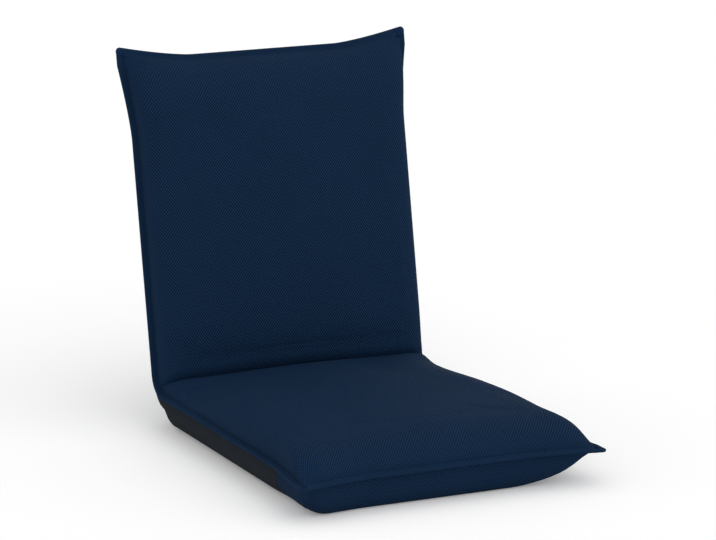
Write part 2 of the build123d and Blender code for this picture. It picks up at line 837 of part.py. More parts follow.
case_face = plate_offset + case_plate / 2
pivots = headed_pins(seat, [(0, 0)], pivot_radius, pivot_head, pivot_head_thick, case_face)
finish(pivots, "pivot_rivets")
pawl_pins = headed_pins(seat, [pawl_spot], pawl_radius, pawl_head, pawl_head_thick, case_face)
finish(pawl_pins, "pawl_pins")
spring_pins = headed_pins(
    seat, [spring_spot], spring_pin_radius, spring_pin_head, pawl_head_thick, case_face
)
finish(spring_pins, "spring_pins")
seat_spots = [(s, 0) for s in seat_rivets_at]
seat_rivets = headed_pins(seat, seat_spots, rivet_radius, rivet_head, rivet_head_thick, case_face)
finish(seat_rivets, "seat_rivets")
back_spots = [(s, 0) for s in back_rivets_at]
back_rivets = headed_pins(back, back_spots, rivet_radius, rivet_head, rivet_head_thick, tube_radius)
finish(back_rivets, "back_rivets")

for side_name, side in (("left", -1), ("right", 1)):
    middle = side * frame_half_width
    finish(case_plate_part(middle + side * plate_offset), f"{side_name}_case_outer")
    finish(case_plate_part(middle - side * plate_offset), f"{side_name}_case_inner")
    finish(ratchet_arm(side), f"{side_name}_ratchet_arm")
    finish(release_cam(side), f"{side_name}_release_cam")
    finish(pawl(side), f"{side_name}_pawl")
    finish(pawl_spring(side), f"{side_name}_pawl_spring")

# ---------------------------------------------------------------- zip
chain_top = -rear_depth - chain_proud
chain_bottom = chain_top + chain_high

with BuildPart() as zip_tapes:
    with BuildSketch(seam_plane(back, -rear_depth)):
        for turn in (-1, 1):
            with Locations((zip_at + turn * (chain_width + tape_width) / 2, 0)):
                Rectangle(tape_width, zip_length)
    extrude(amount=-tape_thick)
finish(zip_tapes, "zip_tapes")

with BuildPart() as zip_chain:
    row = (chain_width - chain_split) / 2
    with BuildSketch(seam_plane(back, chain_top)):
        for turn in (-1, 1):
            with Locations((zip_at + turn * (chain_split + row) / 2, 0)):
                Rectangle(row, zip_length)
    extrude(amount=chain_high)
finish(zip_chain, "zip_chain")

slider_x = zip_length / 2 - slider_start - slider_length / 2
lip = (slider_width - chain_width) / 2 - slider_gap
top_face = chain_top - slider_gap
tape_top = -rear_depth - tape_thick
with BuildPart() as zip_slider:
    with BuildSketch(seam_plane(back, top_face)):
        with Locations((zip_at, slider_x)):
            RectangleRounded(slider_width, slider_length, slider_plate)
    extrude(amount=-slider_plate)
    with BuildSketch(seam_plane(back, tape_top - slider_gap)):
        for turn in (-1, 1):
            with Locations((zip_at + turn * (slider_width - lip) / 2, slider_x)):
                Rectangle(lip, slider_length - 2 * slider_plate)
    extrude(amount=top_face - tape_top + slider_gap)
    with BuildSketch(seam_plane(back, chain_bottom + slider_gap)):
        with Locations((zip_at, slider_x)):
            RectangleRounded(slider_base_width, slider_length, slider_plate)
    extrude(amount=slider_base)
    neck_depth = chain_bottom - chain_top + 2 * slider_gap
    with BuildSketch(seam_plane(back, top_face)):
        with Locations((zip_at, slider_x + (slider_length - slider_neck) / 2)):
            Rectangle(chain_split - 2 * slider_gap, slider_neck)
    extrude(amount=neck_depth)
    lug_face = top_face - slider_plate
    with BuildSketch(seam_plane(back, lug_face)):
        for turn in (-1, 1):
            with Locations((zip_at + turn * (pull_width / 2 + slider_gap + lug_thick / 2), slider_x)):
                Rectangle(lug_thick, lug_length)
    extrude(amount=-lug_high)
    pin_face = lug_face - lug_high / 2
    pin_reach = pull_width / 2 + slider_gap + lug_thick / 2
    with BuildSketch(slice_plane(back, zip_at - pin_reach)):
        with Locations((slider_x, pin_face)):
            Circle(lug_pin)
    extrude(amount=2 * pin_reach)
finish(zip_slider, "zip_slider")

with BuildPart() as zip_pull:
    eye = lug_pin + bearing_gap
    with BuildSketch(slice_plane(back, zip_at - pull_width / 2)):
        with Locations((slider_x, pin_face)):
            Circle((lug_high - slider_gap) / 2)
        with Locations((slider_x - pull_length / 2, pin_face)):
            Rectangle(pull_length, pull_thick)
        with Locations((slider_x, pin_face)):
            Circle(eye, mode=Mode.SUBTRACT)
    extrude(amount=pull_width)
finish(zip_pull, "zip_pull")
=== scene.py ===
"""Folding floor chair: covers, welt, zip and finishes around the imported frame.

Metres, in the frame's own axes: +X across the seat, -Y to the front, +Z up.
"""

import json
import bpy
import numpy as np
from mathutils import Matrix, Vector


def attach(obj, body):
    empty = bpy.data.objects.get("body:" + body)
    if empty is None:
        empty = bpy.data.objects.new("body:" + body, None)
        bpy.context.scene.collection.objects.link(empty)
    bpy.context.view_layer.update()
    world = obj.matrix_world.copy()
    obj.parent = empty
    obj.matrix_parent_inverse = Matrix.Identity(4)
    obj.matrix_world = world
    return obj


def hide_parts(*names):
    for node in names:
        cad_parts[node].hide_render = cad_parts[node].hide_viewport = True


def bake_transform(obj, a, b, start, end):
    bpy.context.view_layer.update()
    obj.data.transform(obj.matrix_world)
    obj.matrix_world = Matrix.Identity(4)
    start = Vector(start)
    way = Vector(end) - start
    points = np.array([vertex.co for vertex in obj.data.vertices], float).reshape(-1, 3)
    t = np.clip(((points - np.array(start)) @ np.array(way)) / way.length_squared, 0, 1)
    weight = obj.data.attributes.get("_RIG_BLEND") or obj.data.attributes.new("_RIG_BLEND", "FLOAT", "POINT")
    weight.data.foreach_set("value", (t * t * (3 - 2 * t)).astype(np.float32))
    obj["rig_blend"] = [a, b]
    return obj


bl_info = {
    "name": "Folding floor chair",
    "version": (1, 0, 0),
    "blender": (4, 5, 0),
    "location": "View3D > Sidebar > Floor Chair",
    "description": "Dresses the frame of a folding floor chair with its covers, welt, zip and finishes",
    "category": "Object",
}

from math import atan2, cos, exp, hypot, pi, radians, sin, sqrt, tan

import bmesh
import bpy
from bpy.props import FloatProperty, FloatVectorProperty, PointerProperty
from bpy.types import Operator, Panel, PropertyGroup
from mathutils import Vector

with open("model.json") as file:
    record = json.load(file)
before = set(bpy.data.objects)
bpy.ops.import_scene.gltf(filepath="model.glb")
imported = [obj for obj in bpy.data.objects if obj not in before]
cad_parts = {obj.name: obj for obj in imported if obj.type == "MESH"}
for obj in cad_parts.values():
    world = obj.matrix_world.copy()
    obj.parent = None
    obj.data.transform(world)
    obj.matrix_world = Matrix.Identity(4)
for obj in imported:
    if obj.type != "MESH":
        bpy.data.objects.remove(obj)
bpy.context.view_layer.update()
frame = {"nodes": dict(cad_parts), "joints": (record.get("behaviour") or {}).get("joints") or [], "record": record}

recline = next(joint for joint in frame["joints"] if joint["name"] == "recline")
hinge = Vector(recline["pos_m"])

OPEN_ANGLE = radians(100.8)          # between seat and back as drawn
CREASE_ANGLE = radians(38.0)         # tuck above the seat
BLACK_END = -0.006                   # place on the seam where base cloth and rear cover meet

END_FULL = 2.2                       # more keeps a rounded end full for longer
END_STEEP = 0.52                     # less makes it meet the seam more steeply
END_ROWS = 26                        # rows over a rounded end
RUN_ROWS = (5, 58, 24, 24, 50)       # rows of each run between the two rounded ends
SIDE_COLUMNS = 14                    # columns of a round side
FACE_COLUMNS = 56

PRESSURE = 4.0                       # of the stuffing, in the cloth simulation
SETTLE_FRAMES = 20
INWARD_LOST = 0.9                    # share of an inward move that is taken back
CREASE_HOLD = 0.020                  # how close to the crease the cover is held
SEAM_NEAR = 0.0004                   # how close to a seam's plane a point lies on the seam
SIDE_NEAR = 0.0002                   # the same for the side seam
SIDE_REACH = 0.300                   # how far from the hinge line the side seam is held
ZIP_MARGIN = 0.010                   # held past the ends of the zip

FAN_STEPS = 10                       # steps round an ear's tip
END_PLACES = 84                      # steps along the front or top edge
SIDE_STEP = 0.002                    # a side's slope is taken from this far on either side
END_STEP = 0.001
END_MARGIN = 0.0001                  # rows this close to an edge belong to the edge
FOLD_STEP = 0.0016                   # cloth from one line of the welt's profile to the next
# outwards and up: from inside the seam, over the lip, to the edge of the fold
WELT_PROFILE = ((-0.5, 2.9), (-0.2, 2.0), (0.08, 1.35), (0.32, 1.06), (0.6, 1.0), (0.82, 0.88), (0.95, 0.55))

TAPE_BEVEL = 0.35                    # share of the tape's thickness
TOOTH_LONG, TOOTH_BEVEL = 0.62, 0.16             # shares of the tooth pitch
CORD_WIDE, CORD_HIGH, CORD_OUT = 0.7, 0.5, 0.15  # shares of a tooth's width, height and width
STITCH_LONG = 0.72                   # share of the stitch length
STITCH_WIDE, STITCH_HIGH, STITCH_SUNK = 0.0007, 0.0005, 0.0002
STITCH_LINES = (0.42, 0.78)          # shares of the tape's width

HOLE_FROM, HOLE_STEEP, HOLE_DEEP = 0.22, 2.4, 0.9
EDGE_CELL, EDGE_PAINTED_HIGHLIGHT = 0.6, 1.12     # the mesh of the welt against that of the covers; the tint makes the welt's copy of the same mesh lighter, a painted highlight on its lip
TAPE_COLOUR, TAPE_THREAD = (0.0050, 0.0130, 0.0310), 0.0007

CAMERA_AZIMUTH, CAMERA_HEIGHT = radians(-25.30), radians(12.94)
CAMERA_DISTANCE = 4.716
CAMERA_TARGET = Vector((0, 0.0191, 0.2421))
CAMERA_FOCAL = 3623.6 / 716          # in widths of the picture
SENSOR = 36.0
LAMP_PLACE = Vector((0.8, -1.7, 1.9))
LAMP_ANGLE = radians(100)
FLOOR_SHADE = 0.93
FLOOR_GLOW = 0.165                   # brings the unshaded floor to white, for the camera alone


# ---------------------------------------------------------------- sizes and colours
def length(name, description, default):
    """A size in metres."""
    return FloatProperty(name=name, description=description, default=default, min=0.0, unit="LENGTH")


def colour(name, description, default):
    """A linear colour."""
    return FloatVectorProperty(
        name=name, description=description, default=default, size=3, subtype="COLOR", min=0.0, max=1.0
    )


class CushionSizes(PropertyGroup):
    half_width: length("Half width", "Middle of the seat to its side seam", 0.1935)
    seat_length: length("Seat length", "Hinge line to the seat's front seam", 0.4825)
    back_length: length("Back length", "Hinge line to the back's top seam", 0.4425)
    seat_depth: length("Seat height", "Seat above its seam, in the middle", 0.044)
    seat_tuck: length("Seat at the crease", "Seat above its seam where it meets the back", 0.032)
    back_depth: length("Back thickness", "Back in front of its seam, in the middle", 0.050)
    back_tuck: length("Back at the crease", "Back in front of its seam where it meets the seat", 0.045)
    base_depth: length("Base", "Seat below its seam", 0.046)
    rear_depth: length("Rear", "Back behind its seam", 0.036)
    hinge_depth: length("Hinge corner", "Cover behind the hinge line", 0.029)
    ear_side: length("Ears to the side", "How far an ear's tip stands out sideways", 0.0125)
    ear_end: length("Ears to the end", "How far an ear's tip stands out of its end", 0.0155)
    ear_run: length("Ear run", "Length over which an edge curves out to its ear", 0.100)
    cloth: length("Cover", "Thickness of the spaced mesh with its lining", 0.0025)
    canvas: length("Base cloth", "Thickness of the cloth under the seat", 0.0012)
    nose: length("Nose band", "Mesh below the seat's front", 0.095)
    swell: length("Stuffing", "Most that the stuffing pushes the cover out", 0.002)


class TrimSizes(PropertyGroup):
    welt_width: length("Welt", "How far the welt stands out of its seam", 0.0078)
    welt_thick: length("Welt thickness", "Thickness of the folded edge", 0.0046)
    ear_round: length("Ear rounding", "Rounding of an ear's tip", 0.0055)
    tooth_pitch: length("Zip tooth pitch", "From one tooth of the zip to the next", 0.0016)
    stitch: length("Stitch", "From one stitch to the next", 0.0034)
    zip_at: length("Zip", "Hinge line to the zip's middle", 0.062)
    zip_half: length("Half of the zip", "Half of the zip's length", 0.148)
    zip_slit: length("Opening for the zip", "Opening in the rear cover under the tapes", 0.013)
    tape_width: length("Zip tape", "Width of each tape", 0.0115)
    tape_thick: length("Zip tape thickness", "Thickness of each tape", 0.0008)
    tape_gap: length("Between the tapes", "Space between the tapes for the teeth", 0.0050)
    tooth_gap: length("Between the teeth", "Space that the slider's neck runs in", 0.0012)
    tooth_high: length("Tooth height", "Height of the coil of teeth", 0.0028)
    tooth_proud: length("Teeth above the cover", "How far the coil stands out of the rear cover", 0.0018)


class Finishes(PropertyGroup):
    mesh: colour("Mesh", "Threads of the navy air mesh", (0.0094, 0.0335, 0.0850))
    mesh_hole: colour("Mesh holes", "Ground below the threads", (0.0018, 0.0072, 0.0190))
    base: colour("Base cloth", "Charcoal cloth under the seat", (0.0135, 0.0185, 0.0240))
    foam: colour("Foam", "Polyurethane foam", (0.72, 0.68, 0.52))
    paint: colour("Frame paint", "Black powder coat", (0.016, 0.016, 0.017))
    zinc: colour("Zinc", "Zinc plate of the hinges", (0.50, 0.49, 0.46))
    cell: length("Mesh cell", "From one hole of the mesh to the next across", 0.0038)
    cell_along: length("Mesh row", "From one hole of the mesh to the next along", 0.0052)
    thread: length("Cloth thread", "From one thread of the base cloth to the next", 0.0011)


class StageSizes(PropertyGroup):
    floor: length("Floor", "Width of the floor", 16.0)
    dome: FloatProperty(
        name="Dome", description="Strength of the even light all round", default=0.74, min=0.0)
    lamp: FloatProperty(
        name="Lamp", description="Strength of the wide lamp above", default=0.78, min=0.0)


# ---------------------------------------------------------------- shape of the cushion
def eased(share):
    """Smooth step from 0 to 1."""
    share = min(1.0, max(0.0, share))
    return share * share * (3 - 2 * share)


def between(low, high, share):
    return low + (high - low) * share


def rounded_end(distance, run):
    """Share of the full depth near an edge that is rounded over a run."""
    share = min(1.0, max(0.0, distance / run))
    return (1 - (1 - share) ** END_FULL) ** END_STEEP


class Half:
    """One half seen from the side: its direction from the hinge and the way its padded face looks."""

    def __init__(self, lift, way):
        self.along = Vector((0, -cos(lift), sin(lift)))
        self.face = Vector((0, sin(lift), cos(lift))) * way


class Cushion:
    """The stuffed cover as lines seen from the side, with a section across at each of them."""

    bend_start = 0.025               # hinge line to the start of the seam's bend
    front_round = 0.070
    base_round = 0.022
    top_round = 0.080
    base_rise = 0.024
    rear_rise = 0.060
    join_seat = 0.090                # from here to the crease the sections lean
    join_back = 0.080
    join_under = 0.065
    seat_rise = 0.190
    back_rise = 0.060
    tuck_fade = 0.230
    loose_run = 0.060                # length over which the cloth comes free of a seam
    ear_empty = 0.022                # reach of the flat, unstuffed cloth at an ear
    tuck_deep = 0.014                # how deep the crease is pulled in
    tuck_wide = 0.013                # length over which the cover rounds into it
    tuck_reach = 0.030               # how far from the crease the faces still lean to it
    tuck_ramp = 0.075                # length over which the seat's sides widen from the hinge
    fade_from = 0.090                # from here the sides recover from the crease
    crown = 0.16
    side_from = 0.70                 # share of the half width at which the side starts
    side_power = 0.8                 # 1 gives an elliptic side, less a fuller one
    upper_side, upper_swell = 0.039, 0.0035
    lower_side, lower_swell = 0.030, 0.0015
    tucked_side = 0.105              # upper side where it is tucked into the crease
    front_side = (0.046, 0.105)      # lower side at the front, on the left and on the right
    front_from, front_run = 0.35, 0.11
    front_power = 1.15               # side_power at the front's lower right corner
    power_from, power_run = 0.34, 0.10
    full_depth = 0.040               # a pad this deep swells fully
    ear_flat = 0.6                   # share of the height lost at an ear's tip
    ear_power = 1.4                  # 1 flares out in a straight line, more in a curve

    def __init__(self, sizes):
        self.sizes = sizes
        self.seat = Half(0.0, 1)
        self.back = Half(OPEN_ANGLE, -1)
        self.turn = pi - OPEN_ANGLE
        self.bend = self.bend_start * tan(OPEN_ANGLE / 2)
        self.half_arc = self.bend * self.turn / 2
        self.offset = self.bend_start - self.half_arc
        self.front = -(sizes.seat_length - self.offset)
        self.top = sizes.back_length - self.offset
        self.seat_crease = sizes.seat_tuck / tan(CREASE_ANGLE)
        self.back_crease = sizes.back_tuck / tan(OPEN_ANGLE - CREASE_ANGLE)
        lean = Vector((0, -cos(CREASE_ANGLE), sin(CREASE_ANGLE)))
        reach = (sizes.seat_tuck / sin(CREASE_ANGLE) + sizes.back_tuck / sin(OPEN_ANGLE - CREASE_ANGLE)) / 2
        self.crease_line = lean
        self.crease = hinge + lean * reach
        # of each face: depth at the hinge, full depth, start and length of the rise, end, rounding
        self.faces = {
            "seat": (sizes.seat_tuck, sizes.seat_depth, self.seat_crease, self.seat_rise,
                     sizes.seat_length, self.front_round),
            "back": (sizes.back_tuck, sizes.back_depth, self.back_crease, self.back_rise,
                     sizes.back_length, self.top_round),
            "base": (sizes.hinge_depth, sizes.base_depth, 0.0, self.base_rise,
                     sizes.seat_length, self.base_round),
            "rear": (sizes.hinge_depth, sizes.rear_depth, 0.0, self.rear_rise,
                     sizes.back_length, self.top_round),
        }

    def seam(self, along):
        """Point and upper direction of the seam; along is 0 in the bend, less on the seat."""
        if along <= -self.half_arc:
            return hinge + self.seat.along * (self.offset - along), self.seat.face
        if along >= self.half_arc:
            return hinge + self.back.along * (self.offset + along), self.back.face
        angle = (along + self.half_arc) / self.bend
        outward = Vector((0, sin(angle), -cos(angle)))
        middle = hinge + self.seat.along * self.bend_start + self.seat.face * self.bend
        return middle + outward * self.bend, -outward

    def place(self, x, along, rise):
        """Point over the seam's surface."""
        point, face = self.seam(along)
        point = point + face * rise
        return Vector((x, point.y, point.z))

    def height(self, face, s):
        """Distance of one face from the seam, s from the hinge line."""
        low, full, start, rise, finish, end_round = self.faces[face]
        return between(low, full, eased((s - start) / rise)) * rounded_end(finish - s, end_round)

    def upper_middle(self, along):
        """Middle of the upper face for a place on the seam."""
        if along < 0:
            half, crease, join, face = self.seat, self.seat_crease, self.join_seat, "seat"
        else:
            half, crease, join, face = self.back, self.back_crease, self.join_back, "back"
        s = self.offset + abs(along)
        if s < join:
            s = between(crease, join, abs(along) / (join - self.offset))
        point = hinge + half.along * s + half.face * self.height(face, s)
        edge = hinge + half.along * crease + half.face * self.height(face, crease)
        from_crease = s - crease
        point += (self.crease - edge) * exp(-from_crease / self.tuck_reach)
        near = max(0.0, 1 - from_crease / self.tuck_wide)
        point -= self.crease_line * self.tuck_deep * (1 - sqrt(max(0.0, 1 - near ** 2)))
        return point

    def lower_middle(self, along):
        """Middle of the lower face for a place on the seam."""
        half, face = (self.seat, "base") if along < 0 else (self.back, "rear")
        s = self.offset + abs(along)
        round_hinge = self.sizes.hinge_depth * self.turn / 2
        if s >= self.join_under:
            return hinge + half.along * s - half.face * self.height(face, s)
        path = (self.join_under + round_hinge) * abs(along) / (self.join_under - self.offset)
        if path > round_hinge:
            s = path - round_hinge
            return hinge + half.along * s - half.face * self.height(face, s)
        angle = self.turn / 2 * (1 + path / round_hinge * (1 if along > 0 else -1))
        return hinge + Vector((0, sin(angle), -cos(angle))) * self.sizes.hinge_depth

    def middle(self, along, upper):
        return self.upper_middle(along) if upper else self.lower_middle(along)

    def corner(self, along, upper, right):
        """Width of the round side of a section, and how far it swells."""
        s = abs(along) + self.offset
        if upper:
            tucked = eased(-along / self.tuck_ramp) * (1 - eased((s - self.fade_from) / self.tuck_fade))
            return between(self.upper_side, self.tucked_side, tucked), self.upper_swell
        if along > 0:
            return self.lower_side, self.lower_swell
        share = eased((s - self.front_from) / self.front_run)
        return between(self.lower_side, self.front_side[right], share), self.lower_swell

    def filled(self, x, along):
        """How far the stuffing reaches into an ear: 1 away from it, less near its tip."""
        edge = -self.front if along < 0 else self.top
        from_ear = hypot(abs(x) - self.sizes.half_width - self.sizes.ear_side, abs(along) - edge)
        return 1 - self.ear_flat * exp(-((from_ear / self.ear_empty) ** 2))

    def flare(self, along):
        """How far the side has curved out to its ear, from 0 to 1."""
        edge = -self.front if along < 0 else self.top
        share = (abs(along) - (edge - self.sizes.ear_run)) / self.sizes.ear_run
        return max(0.0, min(1.0, share)) ** self.ear_power

    def plan(self, x, along):
        """Where a point of the straight-sided plan lies once its ears are drawn out."""
        sizes = self.sizes
        edge = -self.front if along < 0 else self.top
        near_end = max(0.0, (abs(along) - (edge - sizes.ear_run)) / sizes.ear_run)
        tip = sizes.half_width + sizes.ear_side
        near_side = max(0.0, (abs(x) - (tip - sizes.ear_run)) / sizes.ear_run) ** self.ear_power
        shift = sizes.ear_end * near_side * near_end ** 2
        return along + (shift if along > 0 else -shift)

    def looseness(self, u, along):
        """How freely the stuffing can push the cloth: 0 where it is sewn, 1 away from there."""
        side = (1 - abs(u)) / (1 - self.side_from)
        ends = min(along - self.front, self.top - along, abs(along)) / self.loose_run
        return eased(side) * eased(ends)

    def section(self, u, along, upper):
        """Place across and share of the full height: u runs from one side seam, -1, to the other, 1."""
        sizes = self.sizes
        corner, swell = self.corner(along, upper, u > 0)
        face = sizes.half_width + sizes.ear_side * self.flare(along) - corner
        shoulder = 1 - self.crown if upper else 1.0
        split = self.side_from
        if abs(u) <= split:
            x = face * abs(u) / split
            high = between(shoulder, 1.0, (1 - (abs(u) / split) ** 2) ** 2)
        else:
            turn = pi / 2 * (1 - abs(u)) / (1 - split)
            power = self.side_power
            if u > 0 > along and not upper:
                power = between(power, self.front_power, eased((-along - self.power_from) / self.power_run))
            depth = self.middle(along, upper) - self.seam(along)[0]
            fullness = min(1.0, depth.length / self.full_depth)
            x = face + corner * max(0.0, cos(turn)) ** power + swell * fullness * sin(2 * turn)
            high = shoulder * sin(turn) ** power
        return (x if u >= 0 else -x), high * self.filled(x, along)

    def point(self, u, along, upper):
        """Point of the cover over a place across and along its seam."""
        x, high = self.section(u, along, upper)
        foot, start = self.seam(self.plan(x, along))[0], self.seam(along)[0]
        spot = foot + (self.middle(along, upper) - start) * high
        return Vector((x, spot.y, spot.z))


def stations(cushion):
    """Places along the seam at which the cover has a row: close at the ends and at the crease."""
    start = cushion.front + cushion.front_round
    nose = cushion.front + cushion.sizes.nose
    under = -(cushion.join_under - cushion.offset)
    finish = cushion.top - cushion.top_round
    quarter = [pi / 2 * step / END_ROWS for step in range(END_ROWS + 1)]
    rows = [cushion.front + cushion.front_round * (1 - cos(angle)) for angle in quarter[:-1]]
    stops = (start, nose, under, 0.0, -under, finish)
    for low, high, count in zip(stops, stops[1:], RUN_ROWS):
        rows += [between(low, high, step / count) for step in range(count)]
    return rows + [finish + cushion.top_round * sin(angle) for angle in quarter]


def section_marks():
    """Places across a row, close at the sides."""
    edge = Cushion.side_from
    side = [between(-1.0, -edge, step / SIDE_COLUMNS) for step in range(SIDE_COLUMNS)]
    face = [between(-edge, edge, step / FACE_COLUMNS) for step in range(FACE_COLUMNS + 1)]
    return side + face + [-mark for mark in reversed(side)]


def grid_place(vert, columns, rows):
    """Column and row of a point of a plain grid."""
    return round((vert.co.x + 0.5) * columns), round((vert.co.y + 0.5) * rows)


def write_cloth(bm, place):
    """Keep each point's place on the cloth, in metres, as a UV map."""
    uv = bm.loops.layers.uv.new("cloth")
    for face in bm.faces:
        for loop in face.loops:
            loop[uv].uv = place(loop.vert)


def to_mesh(bm, name):
    mesh = bpy.data.meshes.new(name)
    bm.to_mesh(mesh)
    bm.free()
    return mesh


def cover_grid(bm, cushion, upper, marks, rows):
    """One skin of the cover, from a plain grid whose points are moved to their place."""
    made = bmesh.ops.create_grid(bm, x_segments=len(marks) - 1, y_segments=len(rows) - 1, size=0.5)
    across = bm.verts.layers.float["across"]
    down = bm.verts.layers.float["down"]
    loose = bm.verts.layers.float["loose"]
    depth = cushion.sizes.seat_depth if upper else cushion.sizes.base_depth
    reach = [0.0]
    for near, far in zip(rows, rows[1:]):
        reach.append(reach[-1] + (cushion.middle(far, upper) - cushion.middle(near, upper)).length)
    widths = []
    for row in rows:
        line = [cushion.section(mark, row, upper) for mark in marks]
        run = [0.0]
        for near, far in zip(line, line[1:]):
            run.append(run[-1] + hypot(far[0] - near[0], depth * (far[1] - near[1])))
        widths.append([spot - run[len(run) // 2] for spot in run])
    for vert in made["verts"]:
        column, row = grid_place(vert, len(marks) - 1, len(rows) - 1)
        vert[across] = widths[row][column]
        vert[down] = reach[row]
        vert[loose] = cushion.looseness(marks[column], rows[row])
        vert.co = cushion.point(marks[column], rows[row], upper)


PANELS = {"front_cover": 0, "nose_band": 1, "base_cloth": 2, "rear_cover": 3}


def build_shell(cushion):
    """The whole stuffed cover as one closed mesh, each face marked with its panel."""
    marks = section_marks()
    rows = stations(cushion)
    bm = bmesh.new()
    for name in ("across", "down", "loose"):
        bm.verts.layers.float.new(name)
    panel = bm.faces.layers.int.new("panel")
    count = len(marks) - 1
    for upper in (True, False):
        before = len(bm.faces)
        cover_grid(bm, cushion, upper, marks, rows)
        bm.faces.ensure_lookup_table()
        for index in range(before, len(bm.faces)):
            face = bm.faces[index]
            row = (index - before) // count
            along = (rows[row] + rows[row + 1]) / 2
            if upper:
                face[panel] = PANELS["front_cover"]
            elif along < cushion.front + cushion.sizes.nose:
                face[panel] = PANELS["nose_band"]
            elif along < BLACK_END:
                face[panel] = PANELS["base_cloth"]
            else:
                face[panel] = PANELS["rear_cover"]
    across = bm.verts.layers.float["across"]
    down = bm.verts.layers.float["down"]
    write_cloth(bm, lambda vert: (vert[across], vert[down]))
    bmesh.ops.remove_doubles(bm, verts=bm.verts, dist=0.00002)
    bmesh.ops.recalc_face_normals(bm, faces=bm.faces)
    return to_mesh(bm, "stuffed_cover")


def settle(mesh, sewn, limit):
    """Let the stuffing push the cloth out, held where it is sewn, by no more than a limit."""
    scene = bpy.context.scene
    loose = [value.value for value in mesh.attributes["loose"].data]
    piece = bpy.data.objects.new("stuffing", mesh)
    scene.collection.objects.link(piece)
    group = piece.vertex_groups.new(name="sewn")
    group.add(sewn, 1.0, "REPLACE")
    before = [(vert.co.copy(), vert.normal.copy()) for vert in mesh.vertices]
    cloth = piece.modifiers.new("stuffing", "CLOTH")
    cloth.settings.vertex_group_mass = "sewn"
    cloth.settings.use_pressure = True
    cloth.settings.uniform_pressure_force = PRESSURE
    cloth.settings.effector_weights.gravity = 0.0
    cloth.collision_settings.use_collision = False
    cloth.point_cache.frame_start = 1
    cloth.point_cache.frame_end = SETTLE_FRAMES
    for step in range(1, SETTLE_FRAMES + 1):
        scene.frame_set(step)
    evaluated = piece.evaluated_get(bpy.context.evaluated_depsgraph_get())
    after = [vert.co.copy() for vert in evaluated.data.vertices]
    scene.frame_set(1)
    bpy.data.objects.remove(piece)
    for vert, (old, outward), new, free in zip(mesh.vertices, before, after, loose):
        move = new - old
        inward = min(0.0, move.dot(outward))
        move -= outward * inward * INWARD_LOST
        if move.length > limit:
            move *= limit / move.length
        vert.co = old + move * free
        vert.co.z = max(0.0, vert.co.z)
    mesh.update()


made_once = {}


def shell():
    """The stuffed cover, made and settled once and then cut into its panels."""
    if not made_once:
        sizes = bpy.context.scene.floor_chair_cushion
        cushion = Cushion(sizes)
        mesh = build_shell(cushion)
        sewn = []
        for vert in mesh.vertices:
            near = hypot(vert.co.y - cushion.crease.y, vert.co.z - cushion.crease.z) < CREASE_HOLD
            if near or on_seam(cushion, vert.co) or at_zip(cushion, vert.co):
                sewn.append(vert.index)
        settle(mesh, sewn, sizes.swell)
        made_once.update(mesh=mesh, cushion=cushion)
    return made_once["mesh"], made_once["cushion"]


def on_seam(cushion, co):
    """Whether a point lies on the seam that runs round the whole cover."""
    spot = co - hinge
    on_seat = abs(spot.z) < SEAM_NEAR and spot.y < 0
    on_back = abs(spot.dot(cushion.back.face)) < SEAM_NEAR and spot.dot(cushion.back.along) > 0
    on_side = abs(abs(co.x) - cushion.sizes.half_width) < SIDE_NEAR and spot.length < SIDE_REACH
    return on_seat or on_back or on_side


def at_zip(cushion, co):
    """Whether a point of the rear cover lies where the zip is sewn in."""
    trim = bpy.context.scene.floor_chair_trim
    spot = co - hinge
    behind = spot.dot(cushion.back.face) < 0
    reach = trim.zip_slit / 2 + trim.tape_width
    near = abs(spot.dot(cushion.back.along) - trim.zip_at) < reach
    return behind and near and abs(co.x) < trim.zip_half + ZIP_MARGIN


def add_piece(name, mesh):
    """An object at the origin whose place is in its mesh."""
    piece = bpy.data.objects.new(name, mesh)
    bpy.context.scene.collection.objects.link(piece)
    return piece


def smooth(mesh):
    for face in mesh.polygons:
        face.use_smooth = True


def cut_panel(name, thickness):
    """One panel of the cover with its own thickness."""
    mesh = shell()[0]
    bm = bmesh.new()
    bm.from_mesh(mesh)
    panel = bm.faces.layers.int["panel"]
    others = [face for face in bm.faces if face[panel] != PANELS[name]]
    bmesh.ops.delete(bm, geom=others, context="FACES")
    cut = to_mesh(bm, name)
    smooth(cut)
    piece = add_piece(name, cut)
    wall = piece.modifiers.new("thickness", "SOLIDIFY")
    wall.thickness = thickness
    wall.offset = -1.0
    return piece


def bend_with_back(piece):
    """Let a soft piece turn smoothly from the seat to the back across the crease."""
    normal = Vector((0, sin(CREASE_ANGLE), cos(CREASE_ANGLE)))
    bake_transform(piece, "seat", "back", start=tuple(hinge - normal * 0.042), end=tuple(hinge + normal * 0.042))


# ---------------------------------------------------------------- node groups and materials
class Nodes:
    """Short names for adding and joining shader nodes."""

    def __init__(self, tree):
        self.tree = tree

    def add(self, kind, **settings):
        node = self.tree.nodes.new(kind)
        for name, value in settings.items():
            setattr(node, name, value)
        return node

    def link(self, start, end):
        self.tree.links.new(start, end)

    def value(self, socket, value):
        if isinstance(value, bpy.types.NodeSocket):
            self.link(value, socket)
        else:
            socket.default_value = value

    def math(self, operation, first, second=0.0, third=0.0, clamp=False):
        node = self.add("ShaderNodeMath", operation=operation, use_clamp=clamp)
        for socket, value in zip(node.inputs, (first, second, third)):
            self.value(socket, value)
        return node.outputs[0]

    def mix(self, share, first, second):
        """A colour between two others."""
        node = self.add("ShaderNodeMix", data_type="RGBA")
        self.value(node.inputs[0], share)
        self.value(node.inputs[6], (*first, 1.0))
        self.value(node.inputs[7], (*second, 1.0))
        return node.outputs[2]


